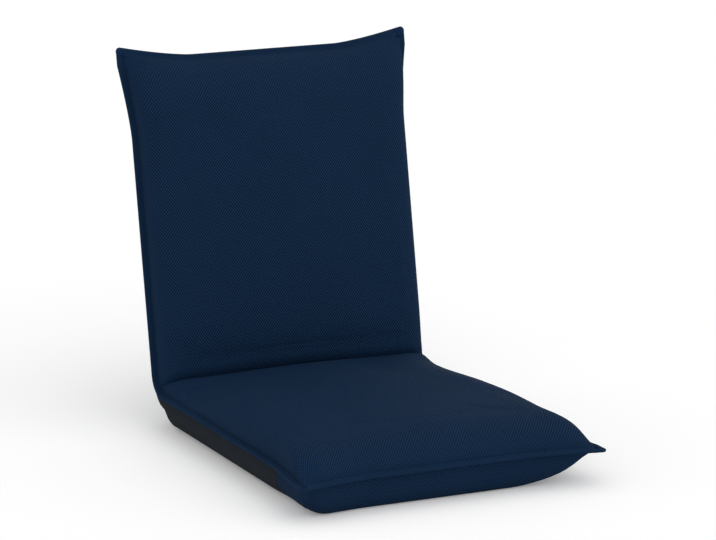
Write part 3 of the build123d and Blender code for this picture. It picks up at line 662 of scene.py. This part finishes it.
def new_group(name, inputs, outputs):
    """An empty shader node group with named sockets."""
    tree = bpy.data.node_groups.new(name, "ShaderNodeTree")
    for socket_name, kind, default in inputs:
        socket = tree.interface.new_socket(socket_name, in_out="INPUT", socket_type=kind)
        socket.default_value = default
    for socket_name, kind in outputs:
        tree.interface.new_socket(socket_name, in_out="OUTPUT", socket_type=kind)
    nodes = Nodes(tree)
    return tree, nodes, nodes.add("NodeGroupInput"), nodes.add("NodeGroupOutput")


def air_mesh_group():
    """Spaced mesh: holes in staggered rows, with threads between them."""
    tree, nodes, given, result = new_group(
        "Air mesh",
        [("Across", "NodeSocketFloat", 0.0), ("Along", "NodeSocketFloat", 0.0),
         ("Cell", "NodeSocketFloat", 0.004), ("Row", "NodeSocketFloat", 0.005)],
        [("Height", "NodeSocketFloat"), ("Hole", "NodeSocketFloat")],
    )
    x = nodes.math("DIVIDE", given.outputs["Across"], given.outputs["Cell"])
    y = nodes.math("DIVIDE", given.outputs["Along"], given.outputs["Row"])
    first = nodes.math("SINE", nodes.math("MULTIPLY", nodes.math("ADD", x, y), pi))
    second = nodes.math("SINE", nodes.math("MULTIPLY", nodes.math("SUBTRACT", x, y), pi))
    wave = nodes.math("ABSOLUTE", nodes.math("MULTIPLY", first, second))
    hole = nodes.math("MULTIPLY", nodes.math("SUBTRACT", wave, HOLE_FROM), HOLE_STEEP, clamp=True)
    nodes.link(hole, result.inputs["Hole"])
    height = nodes.math("SUBTRACT", 1.0, nodes.math("MULTIPLY", hole, HOLE_DEEP))
    nodes.link(height, result.inputs["Height"])
    return tree


def plain_weave_group():
    """Plain weave: threads that pass over and under each other."""
    tree, nodes, given, result = new_group(
        "Plain weave",
        [("Across", "NodeSocketFloat", 0.0), ("Along", "NodeSocketFloat", 0.0),
         ("Thread", "NodeSocketFloat", 0.001)],
        [("Height", "NodeSocketFloat")],
    )
    x = nodes.math("MULTIPLY", nodes.math("DIVIDE", given.outputs["Across"], given.outputs["Thread"]), pi)
    y = nodes.math("MULTIPLY", nodes.math("DIVIDE", given.outputs["Along"], given.outputs["Thread"]), pi)
    over = nodes.math("MULTIPLY", nodes.math("SINE", x), nodes.math("SINE", y))
    warp = nodes.math("ABSOLUTE", nodes.math("SINE", x))
    weft = nodes.math("ABSOLUTE", nodes.math("SINE", y))
    share = nodes.math("ADD", nodes.math("MULTIPLY", over, 0.5), 0.5)
    high = nodes.math("ADD", nodes.math("MULTIPLY", warp, share),
                      nodes.math("MULTIPLY", weft, nodes.math("SUBTRACT", 1.0, share)))
    nodes.link(high, result.inputs["Height"])
    return tree


def cloud_group():
    """Slow change of shade over a surface, as dye and dust give."""
    tree, nodes, given, result = new_group(
        "Slow shade", [("Size", "NodeSocketFloat", 9.0), ("Amount", "NodeSocketFloat", 0.1)],
        [("Shade", "NodeSocketFloat")],
    )
    place = nodes.add("ShaderNodeTexCoord")
    noise = nodes.add("ShaderNodeTexNoise")
    nodes.link(place.outputs["Object"], noise.inputs["Vector"])
    nodes.link(given.outputs["Size"], noise.inputs["Scale"])
    noise.inputs["Detail"].default_value = 4.0
    centred = nodes.math("SUBTRACT", noise.outputs["Fac"], 0.5)
    shade = nodes.math("ADD", nodes.math("MULTIPLY", centred, given.outputs["Amount"]), 1.0)
    nodes.link(shade, result.inputs["Shade"])
    return tree


def grain_group():
    """Fine grain of paint, plate or foam, the same in all directions unless stretched."""
    tree, nodes, given, result = new_group(
        "Fine grain", [("Size", "NodeSocketFloat", 900.0), ("Stretch", "NodeSocketFloat", 1.0)],
        [("Height", "NodeSocketFloat")],
    )
    place = nodes.add("ShaderNodeTexCoord")
    split = nodes.add("ShaderNodeSeparateXYZ")
    join = nodes.add("ShaderNodeCombineXYZ")
    noise = nodes.add("ShaderNodeTexNoise")
    nodes.link(place.outputs["Object"], split.inputs[0])
    nodes.link(split.outputs["X"], join.inputs["X"])
    nodes.link(nodes.math("MULTIPLY", split.outputs["Y"], given.outputs["Stretch"]), join.inputs["Y"])
    nodes.link(split.outputs["Z"], join.inputs["Z"])
    nodes.link(join.outputs[0], noise.inputs["Vector"])
    nodes.link(given.outputs["Size"], noise.inputs["Scale"])
    noise.inputs["Detail"].default_value = 3.0
    nodes.link(noise.outputs["Fac"], result.inputs["Height"])
    return tree


def shared(name, build):
    """A node group, built the first time that it is asked for."""
    return bpy.data.node_groups.get(name) or build()


def new_material(name, **constants):
    """A material with its shader, whose plain values are set on the shader itself."""
    material = bpy.data.materials.new(name)
    material.use_nodes = True
    nodes = Nodes(material.node_tree)
    shader = material.node_tree.nodes["Principled BSDF"]
    for socket, value in constants.items():
        shader.inputs[socket.replace("_", " ")].default_value = value
    return material, nodes, shader


def use_group(nodes, name, build, **values):
    node = nodes.add("ShaderNodeGroup", node_tree=shared(name, build))
    for socket, value in values.items():
        nodes.value(node.inputs[socket], value)
    return node


def bump(nodes, shader, height, distance, strength=1.0):
    node = nodes.add("ShaderNodeBump")
    node.inputs["Distance"].default_value = distance
    node.inputs["Strength"].default_value = strength
    nodes.link(height, node.inputs["Height"])
    nodes.link(node.outputs["Normal"], shader.inputs["Normal"])


def shaded(nodes, colour_value, shade):
    """A colour times a shade."""
    node = nodes.add("ShaderNodeVectorMath", operation="SCALE")
    if isinstance(colour_value, bpy.types.NodeSocket):
        nodes.link(colour_value, node.inputs[0])
    else:
        node.inputs[0].default_value = tuple(colour_value)[:3]
    nodes.link(shade, node.inputs["Scale"])
    return node.outputs[0]


def cloth_place(nodes):
    place = nodes.add("ShaderNodeUVMap", uv_map="cloth")
    split = nodes.add("ShaderNodeSeparateXYZ")
    nodes.link(place.outputs["UV"], split.inputs[0])
    return split.outputs["X"], split.outputs["Y"]


def mesh_material(name, cell_share=1.0, painted_highlight=1.0):
    """Navy air mesh, whose colours a factor above 1 makes lighter as a painted highlight."""
    finishes = bpy.context.scene.floor_chair_finishes
    material, nodes, shader = new_material(name, Roughness=0.9, Specular_IOR_Level=0.06)
    across, along = cloth_place(nodes)
    cell = finishes.cell * cell_share
    row = finishes.cell_along * cell_share
    weave = use_group(nodes, "Air mesh", air_mesh_group, Across=across, Along=along, Cell=cell, Row=row)
    cloud = use_group(nodes, "Slow shade", cloud_group, Size=14.0, Amount=0.14)
    thread = [part * painted_highlight for part in finishes.mesh]
    hole = [part * painted_highlight for part in finishes.mesh_hole]
    colours = nodes.mix(weave.outputs["Hole"], thread, hole)
    nodes.link(shaded(nodes, colours, cloud.outputs["Shade"]), shader.inputs["Base Color"])
    bump(nodes, shader, weave.outputs["Height"], 0.0007, 0.9)
    return material


def weave_material(name, base, thread):
    """Plain woven cloth or tape."""
    material, nodes, shader = new_material(name, Roughness=0.9, Specular_IOR_Level=0.1)
    across, along = cloth_place(nodes)
    weave = use_group(nodes, "Plain weave", plain_weave_group, Across=across, Along=along, Thread=thread)
    cloud = use_group(nodes, "Slow shade", cloud_group, Size=20.0, Amount=0.25)
    shade = nodes.math("MULTIPLY", cloud.outputs["Shade"],
                       nodes.math("ADD", nodes.math("MULTIPLY", weave.outputs["Height"], 0.5), 0.65))
    nodes.link(shaded(nodes, base, shade), shader.inputs["Base Color"])
    bump(nodes, shader, weave.outputs["Height"], 0.0003, 0.8)
    return material


def grain_material(name, base, size, stretch, amount, depth, roughness, metallic):
    """Paint, plate, felt or plastic with a fine grain."""
    material, nodes, shader = new_material(name, Roughness=roughness, Metallic=metallic)
    if isinstance(base, str):
        base = getattr(bpy.context.scene.floor_chair_finishes, base)
    grain = use_group(nodes, "Fine grain", grain_group, Size=size, Stretch=stretch)
    cloud = use_group(nodes, "Slow shade", cloud_group, Size=30.0, Amount=amount)
    spread = nodes.math("MULTIPLY", grain.outputs["Height"], amount)
    shade = nodes.math("MULTIPLY", cloud.outputs["Shade"], nodes.math("ADD", spread, 1 - amount / 2))
    nodes.link(shaded(nodes, base, shade), shader.inputs["Base Color"])
    rough = nodes.math("ADD", nodes.math("MULTIPLY", grain.outputs["Height"], 0.2), roughness - 0.1)
    nodes.link(rough, shader.inputs["Roughness"])
    bump(nodes, shader, grain.outputs["Height"], depth, 0.6)
    return material


# colour or its name among the finishes, size and stretch of the grain, contrast, depth, roughness, metal
GRAINS = {
    "webbing": ((0.012, 0.012, 0.013), 700.0, 6.0, 0.5, 0.0004, 0.8, 0.0),
    "felt": ((0.15, 0.15, 0.14), 500.0, 1.0, 0.6, 0.0006, 0.95, 0.0),
    "foam": ("foam", 900.0, 1.0, 0.35, 0.0005, 0.95, 0.0),
    "frame paint": ("paint", 1400.0, 1.0, 0.2, 0.00006, 0.42, 0.0),
    "zinc plate": ("zinc", 500.0, 9.0, 0.25, 0.00003, 0.36, 1.0),
    "bright rivet": ((0.58, 0.57, 0.55), 1600.0, 1.0, 0.15, 0.00003, 0.28, 1.0),
    "blued spring": ((0.10, 0.11, 0.13), 900.0, 4.0, 0.3, 0.00003, 0.33, 1.0),
    "sewing thread": ((0.012, 0.026, 0.058), 3000.0, 1.0, 0.3, 0.00003, 0.6, 0.0),
    "zip coil": ((0.011, 0.024, 0.048), 2500.0, 1.0, 0.2, 0.00003, 0.5, 0.0),
    "zip metal": ((0.024, 0.03, 0.04), 1800.0, 1.0, 0.3, 0.00004, 0.35, 0.3),
}


def material(name):
    """One of the chair's materials, made the first time that it is asked for."""
    if name in bpy.data.materials:
        return bpy.data.materials[name]
    if name in GRAINS:
        return grain_material(name, *GRAINS[name])
    finishes = bpy.context.scene.floor_chair_finishes
    makers = {
        "navy mesh": lambda: mesh_material(name),
        # the welt's copy of the mesh is made lighter: a painted highlight on the lip of the fold
        "navy edge": lambda: mesh_material(name, EDGE_CELL, EDGE_PAINTED_HIGHLIGHT),
        "base cloth": lambda: weave_material(name, finishes.base, finishes.thread),
        "zip tape": lambda: weave_material(name, TAPE_COLOUR, TAPE_THREAD),
    }
    return makers[name]()


def dress(piece, name):
    """Give every slot of a piece one of the chair's materials."""
    if not piece.data.materials:
        piece.data.materials.append(material(name))
    for index in range(len(piece.data.materials)):
        piece.data.materials[index] = material(name)


NODE_FINISH = {
    "felt": "felt", "webbing": "webbing", "frame_steel": "frame paint", "hinge_steel": "zinc plate",
    "rivet_steel": "bright rivet", "spring_steel": "blued spring", "zip_metal": "zip metal",
    "foam": "foam", "zip_coil": "zip coil", "zip_tape": "zip tape", "welt": "navy edge",
    "navy_mesh": "navy mesh", "base_cloth": "base cloth",
}


# ---------------------------------------------------------------- operators
class FLOORCHAIR_OT_front_cover(Operator):
    """Sew the mesh cover of the seat's top and the back's front, tucked in at the crease"""

    bl_idname = "floor_chair.front_cover"
    bl_label = "Front cover"

    def execute(self, context):
        piece = cut_panel("front_cover", context.scene.floor_chair_cushion.cloth)
        dress(piece, "navy mesh")
        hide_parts("seat_cover_top", "back_cover_front", "seat_foam_top", "back_foam_front")
        bend_with_back(piece)
        return {"FINISHED"}


class FLOORCHAIR_OT_nose_band(Operator):
    """Sew the mesh band below the seat's front"""

    bl_idname = "floor_chair.nose_band"
    bl_label = "Nose band"

    def execute(self, context):
        piece = cut_panel("nose_band", context.scene.floor_chair_cushion.cloth)
        dress(piece, "navy mesh")
        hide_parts("seat_cover_nose")
        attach(piece, "seat")
        return {"FINISHED"}


class FLOORCHAIR_OT_base_cloth(Operator):
    """Sew the charcoal cloth under the seat and round the hinge corner"""

    bl_idname = "floor_chair.base_cloth"
    bl_label = "Base cloth"

    def execute(self, context):
        piece = cut_panel("base_cloth", context.scene.floor_chair_cushion.canvas)
        dress(piece, "base cloth")
        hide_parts("seat_base_cloth", "hinge_gusset", "seat_foam_base")
        bend_with_back(piece)
        return {"FINISHED"}


def open_for_zip(piece, cushion, trim):
    """Cut the opening under the zip's tapes out of the rear cover."""
    bm = bmesh.new()
    bm.from_mesh(piece.data)
    near = on_rear(cushion, 0.0, trim.zip_at - trim.zip_slit / 2, 0.0)
    far = on_rear(cushion, 0.0, trim.zip_at + trim.zip_slit / 2, 0.0)
    cuts = [(near, cushion.back.along), (far, cushion.back.along)]
    cuts += [(Vector((side * trim.zip_half, 0, 0)), Vector((1, 0, 0))) for side in (-1, 1)]
    for spot, normal in cuts:
        geom = bm.verts[:] + bm.edges[:] + bm.faces[:]
        bmesh.ops.bisect_plane(bm, geom=geom, plane_co=spot, plane_no=normal)
    inside = []
    for face in bm.faces:
        middle = face.calc_center_median()
        s = (middle - hinge).dot(cushion.back.along)
        if abs(middle.x) < trim.zip_half and abs(s - trim.zip_at) < trim.zip_slit / 2:
            inside.append(face)
    bmesh.ops.delete(bm, geom=inside, context="FACES")
    bm.to_mesh(piece.data)
    bm.free()


class FLOORCHAIR_OT_rear_cover(Operator):
    """Sew the mesh cover behind the back"""

    bl_idname = "floor_chair.rear_cover"
    bl_label = "Rear cover"

    def execute(self, context):
        piece = cut_panel("rear_cover", context.scene.floor_chair_cushion.cloth)
        open_for_zip(piece, shell()[1], context.scene.floor_chair_trim)
        dress(piece, "navy mesh")
        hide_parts("back_cover_rear", "back_foam_rear")
        bend_with_back(piece)
        return {"FINISHED"}


def corner_fan(x, along, first, last, reach, rounding):
    """Outward lines round an ear's tip, whose end is rounded."""
    middle = (first + last) / 2
    half = (last - first) / 2
    centre = max(0.0, reach - rounding) / cos(half)
    fan = []
    for step in range(1, FAN_STEPS):
        angle = between(first, last, step / FAN_STEPS)
        turn = angle - middle
        edge = reach / cos(half - abs(turn))
        round_tip = centre * cos(turn) + sqrt(max(0.0, rounding ** 2 - (centre * sin(turn)) ** 2))
        fan.append((x, along, cos(angle), sin(angle), max(reach, min(edge, round_tip))))
    return fan


def welt_ring(cushion, reach, rounding):
    """Places round the seam: x, along, outward direction in the plan, and how far the welt reaches."""
    sizes = cushion.sizes

    def side_at(row):
        return sizes.half_width + sizes.ear_side * cushion.flare(row)

    def side(rows, sign):
        found = []
        for row in rows:
            slope = (side_at(row + SIDE_STEP) - side_at(row - SIDE_STEP)) / (2 * SIDE_STEP)
            size = hypot(1, slope)
            found.append((side_at(row) * sign, row, sign / size, -slope / size, reach))
        return found

    def end(edge, sign):
        """From the right ear to the left one."""
        found = []
        tip = sizes.half_width + sizes.ear_side
        for step in range(END_PLACES + 1):
            x = tip * cos(pi * step / END_PLACES)
            slope = (cushion.plan(x + END_STEP, edge) - cushion.plan(x - END_STEP, edge)) / (2 * END_STEP)
            size = hypot(1, slope)
            found.append((x, cushion.plan(x, edge), -slope * sign / size, sign / size, reach))
        return found

    first_row, last_row = cushion.front + END_MARGIN, cushion.top - END_MARGIN
    inner = [row for row in stations(cushion) if first_row < row < last_row]
    runs = [
        side(inner, 1),                            # front to top
        end(cushion.top, 1),                       # right to left
        side(list(reversed(inner)), -1),           # top to front
        list(reversed(end(cushion.front, -1))),    # left to right
    ]
    ring = []
    for index, run in enumerate(runs):
        following = runs[(index + 1) % 4]
        ring += run
        a, b = run[-1], following[0]
        first = atan2(a[3], a[2])
        last = atan2(b[3], b[2])
        while last < first:
            last += 2 * pi
        corner = following[0] if index % 2 == 0 else run[-1]
        ring += corner_fan(corner[0], corner[1], first, last, reach, rounding)
    return ring


class FLOORCHAIR_OT_edge_welt(Operator):
    """Fold and stitch the welt that runs round the whole cover, with its four ears"""

    bl_idname = "floor_chair.edge_welt"
    bl_label = "Edge welt"

    def execute(self, context):
        trim = context.scene.floor_chair_trim
        cushion = shell()[1]
        ring = welt_ring(cushion, trim.welt_width, trim.ear_round)
        half = trim.welt_thick / 2
        profile = [*WELT_PROFILE, (1.0, 0.0)] + [(out, -up) for out, up in reversed(WELT_PROFILE)]
        bm = bmesh.new()
        made = bmesh.ops.create_grid(bm, x_segments=len(profile) - 1, y_segments=len(ring), size=0.5)
        run = [0.0]
        for near, far in zip(ring, ring[1:] + ring[:1]):
            run.append(run[-1] + hypot(far[0] - near[0], far[1] - near[1]))
        places = {}
        for vert in made["verts"]:
            column, row = grid_place(vert, len(profile) - 1, len(ring))
            x, along, way_x, way_along, reach = ring[row % len(ring)]
            out, up = profile[column]
            shift = out * reach if out > 0 else out * trim.welt_width
            places[vert] = (column * FOLD_STEP, run[row])
            if abs(up) > 1:
                up *= cushion.filled(x, along)
            vert.co = cushion.place(x + way_x * shift, along + way_along * shift, up * half)
        write_cloth(bm, places.get)
        bmesh.ops.remove_doubles(bm, verts=bm.verts, dist=0.00001)
        loops = [edge for edge in bm.edges if edge.is_boundary]
        bmesh.ops.bridge_loops(bm, edges=loops)
        bmesh.ops.recalc_face_normals(bm, faces=bm.faces)
        mesh = to_mesh(bm, "edge_welt")
        smooth(mesh)
        piece = add_piece("edge_welt", mesh)
        # dressed in the lighter copy of the mesh, which carries a painted highlight
        dress(piece, "navy edge")
        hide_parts("seat_welt", "back_welt")
        bend_with_back(piece)
        return {"FINISHED"}


def on_rear(cushion, x, s, depth):
    """Point behind the back's seam: s from the hinge line, depth behind the seam."""
    point = hinge + cushion.back.along * s - cushion.back.face * depth
    return Vector((x, point.y, point.z))


def rear_block(bm, cushion, x, s, depth, size, bevel=0.0):
    """A block behind the back, centred on x and s, from depth outwards; its size is (x, s, outwards)."""
    made = bmesh.ops.create_cube(bm, size=1.0)["verts"]
    for vert in made:
        x_here, s_here, out = (part * side for part, side in zip(vert.co, size))
        vert.co = on_rear(cushion, x + x_here, s + s_here, depth + size[2] / 2 + out)
    if bevel:
        edges = list(dict.fromkeys(edge for vert in made for edge in vert.link_edges))
        bmesh.ops.bevel(
            bm, geom=edges, offset=bevel, segments=1, affect="EDGES", profile=0.5, material=-1)


def order_faces(bm):
    """Put the faces in the order of their points, so that every run gives the same mesh."""
    count = len(bm.verts)
    bm.verts.index_update()

    def place(face):
        first, second, third = sorted(vert.index for vert in face.verts)[:3]
        return (first * count + second) * count + third

    bm.faces.sort(key=place)


def finish_piece(bm, name, cloth_lines=None):
    """Turn the faces outward, keep the cloth's own measure and make the object."""
    bmesh.ops.recalc_face_normals(bm, faces=bm.faces)
    order_faces(bm)
    if cloth_lines:
        write_cloth(bm, lambda vert: cloth_lines(vert.co))
    return add_piece(name, to_mesh(bm, name))


class FLOORCHAIR_OT_zip_tape(Operator):
    """Sew the two woven tapes of the zip over the opening of the rear cover"""

    bl_idname = "floor_chair.zip_tape"
    bl_label = "Zip tapes"

    def execute(self, context):
        trim = context.scene.floor_chair_trim
        cushion = shell()[1]
        depth = cushion.sizes.rear_depth
        bm = bmesh.new()
        for side in (-1, 1):
            middle = trim.zip_at + side * (trim.tape_gap + trim.tape_width) / 2
            size = (2 * trim.zip_half, trim.tape_width, trim.tape_thick)
            rear_block(bm, cushion, 0.0, middle, depth, size, trim.tape_thick * TAPE_BEVEL)
        along = cushion.back.along
        piece = finish_piece(bm, "zip_tape", lambda co: (co.x, (co - hinge).dot(along)))
        dress(piece, "zip tape")
        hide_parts("zip_tapes")
        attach(piece, "back")
        return {"FINISHED"}


class FLOORCHAIR_OT_zip_teeth(Operator):
    """Set the two rows of teeth along the zip's tapes"""

    bl_idname = "floor_chair.zip_teeth"
    bl_label = "Zip teeth"

    def execute(self, context):
        trim = context.scene.floor_chair_trim
        cushion = shell()[1]
        width = (trim.tape_gap - trim.tooth_gap) / 2
        depth = cushion.sizes.rear_depth + trim.tooth_proud - trim.tooth_high
        count = round(2 * trim.zip_half / trim.tooth_pitch)
        size = (trim.tooth_pitch * TOOTH_LONG, width, trim.tooth_high)
        bm = bmesh.new()
        for side in (-1, 1):
            row = trim.zip_at + side * (trim.tooth_gap + width) / 2
            for index in range(count - 1):
                x = -trim.zip_half + trim.tooth_pitch * (index + 0.75 + 0.25 * side)
                rear_block(bm, cushion, x, row, depth, size, trim.tooth_pitch * TOOTH_BEVEL)
            cord = (2 * trim.zip_half, width * CORD_WIDE, trim.tooth_high * CORD_HIGH)
            rear_block(bm, cushion, 0.0, row + side * width * CORD_OUT, depth, cord)
        piece = finish_piece(bm, "zip_teeth")
        dress(piece, "zip coil")
        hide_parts("zip_chain")
        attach(piece, "back")
        return {"FINISHED"}


class FLOORCHAIR_OT_zip_stitching(Operator):
    """Stitch the zip's tapes to the rear cover"""

    bl_idname = "floor_chair.zip_stitching"
    bl_label = "Zip stitching"

    def execute(self, context):
        trim = context.scene.floor_chair_trim
        cushion = shell()[1]
        depth = cushion.sizes.rear_depth + trim.tape_thick - STITCH_SUNK
        count = int(2 * trim.zip_half / trim.stitch)
        size = (trim.stitch * STITCH_LONG, STITCH_WIDE, STITCH_HIGH)
        bm = bmesh.new()
        for side in (-1, 1):
            for line in STITCH_LINES:
                row = trim.zip_at + side * (trim.tape_gap / 2 + trim.tape_width * line)
                for index in range(count):
                    x = -trim.zip_half + trim.stitch * (index + 0.5)
                    rear_block(bm, cushion, x, row, depth, size, STITCH_SUNK)
        piece = finish_piece(bm, "zip_stitching")
        dress(piece, "sewing thread")
        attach(piece, "back")
        return {"FINISHED"}


class FLOORCHAIR_OT_frame_finish(Operator):
    """Give the tubes, hinges, rivets, webbing, felt and zip of the frame their finishes"""

    bl_idname = "floor_chair.frame_finish"
    bl_label = "Frame finishes"

    def execute(self, context):
        slots = {part["node"]: part["material_slot"] for part in frame["record"]["subparts"]}
        for name, node in frame["nodes"].items():
            dress(node, NODE_FINISH[slots[name]])
        return {"FINISHED"}


def aim(thing, spot, look):
    """Put a lamp or camera at a spot and turn it to look along a direction."""
    thing.location = spot
    thing.rotation_mode = "QUATERNION"
    thing.rotation_quaternion = look.to_track_quat("-Z", "Y")


class FLOORCHAIR_OT_stage(Operator):
    """Set up the pale floor, the light and the camera"""

    bl_idname = "floor_chair.stage"
    bl_label = "Stage"

    def execute(self, context):
        stage = context.scene.floor_chair_stage
        scene = context.scene
        for extra in [o for o in bpy.data.objects if o.type in ("CAMERA", "LIGHT")]:
            bpy.data.objects.remove(extra)
        bm = bmesh.new()
        bmesh.ops.create_grid(bm, x_segments=8, y_segments=8, size=stage.floor / 2)
        floor = add_piece("floor", to_mesh(bm, "floor"))
        floor.data.materials.append(floor_material())

        world = bpy.data.worlds.new("soft light")
        scene.world = world
        world.use_nodes = True
        nodes = Nodes(world.node_tree)
        light = world.node_tree.nodes["Background"]
        light.inputs["Color"].default_value = (1, 1, 1, 1)
        path = nodes.add("ShaderNodeLightPath")
        seen = nodes.math("MAXIMUM", path.outputs["Is Camera Ray"], path.outputs["Is Glossy Ray"])
        seen = nodes.math("MAXIMUM", seen, path.outputs["Is Transmission Ray"])
        strength = nodes.math("ADD", nodes.math("MULTIPLY", seen, 1 - stage.dome), stage.dome)
        nodes.link(strength, light.inputs["Strength"])

        lamp = bpy.data.lights.new("wide lamp", "SUN")
        lamp.angle = LAMP_ANGLE
        lamp.energy = stage.lamp
        lamp_object = bpy.data.objects.new("wide lamp", lamp)
        scene.collection.objects.link(lamp_object)
        aim(lamp_object, LAMP_PLACE, -LAMP_PLACE)

        camera = bpy.data.cameras.new("camera")
        camera_object = bpy.data.objects.new("camera", camera)
        scene.collection.objects.link(camera_object)
        level = cos(CAMERA_HEIGHT)
        away = Vector((sin(CAMERA_AZIMUTH) * level, -cos(CAMERA_AZIMUTH) * level, sin(CAMERA_HEIGHT)))
        aim(camera_object, CAMERA_TARGET + away * CAMERA_DISTANCE, -away)
        camera.sensor_width = SENSOR
        camera.lens = CAMERA_FOCAL * SENSOR
        camera.clip_end = 50.0
        scene.camera = camera_object
        scene.view_settings.view_transform = "Standard"
        return {"FINISHED"}


def floor_material():
    """Pale floor: white to the camera where nothing shades it, with the chair's soft shadow."""
    ground, nodes, shader = new_material("pale floor", Roughness=0.9, Specular_IOR_Level=0.0)
    shader.inputs["Base Color"].default_value = (FLOOR_SHADE, FLOOR_SHADE, FLOOR_SHADE, 1)
    path = nodes.add("ShaderNodeLightPath")
    shader.inputs["Emission Color"].default_value = (1, 1, 1, 1)
    glow = nodes.math("MULTIPLY", path.outputs["Is Camera Ray"], FLOOR_GLOW)
    nodes.link(glow, shader.inputs["Emission Strength"])
    return ground


class FLOORCHAIR_PT_panel(Panel):
    """The chair's sizes, colours and pieces"""

    bl_idname = "FLOORCHAIR_PT_panel"
    bl_label = "Floor chair"
    bl_space_type = "VIEW_3D"
    bl_region_type = "UI"
    bl_category = "Floor Chair"

    def draw(self, context):
        for group in GROUPS:
            settings = getattr(context.scene, group)
            box = self.layout.box()
            for name in settings.__annotations__:
                box.prop(settings, name)
        for operator in OPERATORS:
            self.layout.operator(operator.bl_idname)


GROUPS = {
    "floor_chair_cushion": CushionSizes,
    "floor_chair_trim": TrimSizes,
    "floor_chair_finishes": Finishes,
    "floor_chair_stage": StageSizes,
}
OPERATORS = (
    FLOORCHAIR_OT_front_cover,
    FLOORCHAIR_OT_nose_band,
    FLOORCHAIR_OT_base_cloth,
    FLOORCHAIR_OT_rear_cover,
    FLOORCHAIR_OT_edge_welt,
    FLOORCHAIR_OT_zip_tape,
    FLOORCHAIR_OT_zip_teeth,
    FLOORCHAIR_OT_zip_stitching,
    FLOORCHAIR_OT_frame_finish,
    FLOORCHAIR_OT_stage,
)


def register():
    for group in GROUPS.values():
        bpy.utils.register_class(group)
    for name, group in GROUPS.items():
        setattr(bpy.types.Scene, name, PointerProperty(type=group))
    for operator in OPERATORS:
        bpy.utils.register_class(operator)
    bpy.utils.register_class(FLOORCHAIR_PT_panel)


def unregister():
    bpy.utils.unregister_class(FLOORCHAIR_PT_panel)
    for operator in reversed(OPERATORS):
        bpy.utils.unregister_class(operator)
    for name in GROUPS:
        delattr(bpy.types.Scene, name)
    for group in reversed(list(GROUPS.values())):
        bpy.utils.unregister_class(group)


def main():
    register()
    for operator in OPERATORS:
        family, name = operator.bl_idname.split(".")
        getattr(getattr(bpy.ops, family), name)()


if __name__ == "__main__":
    main()
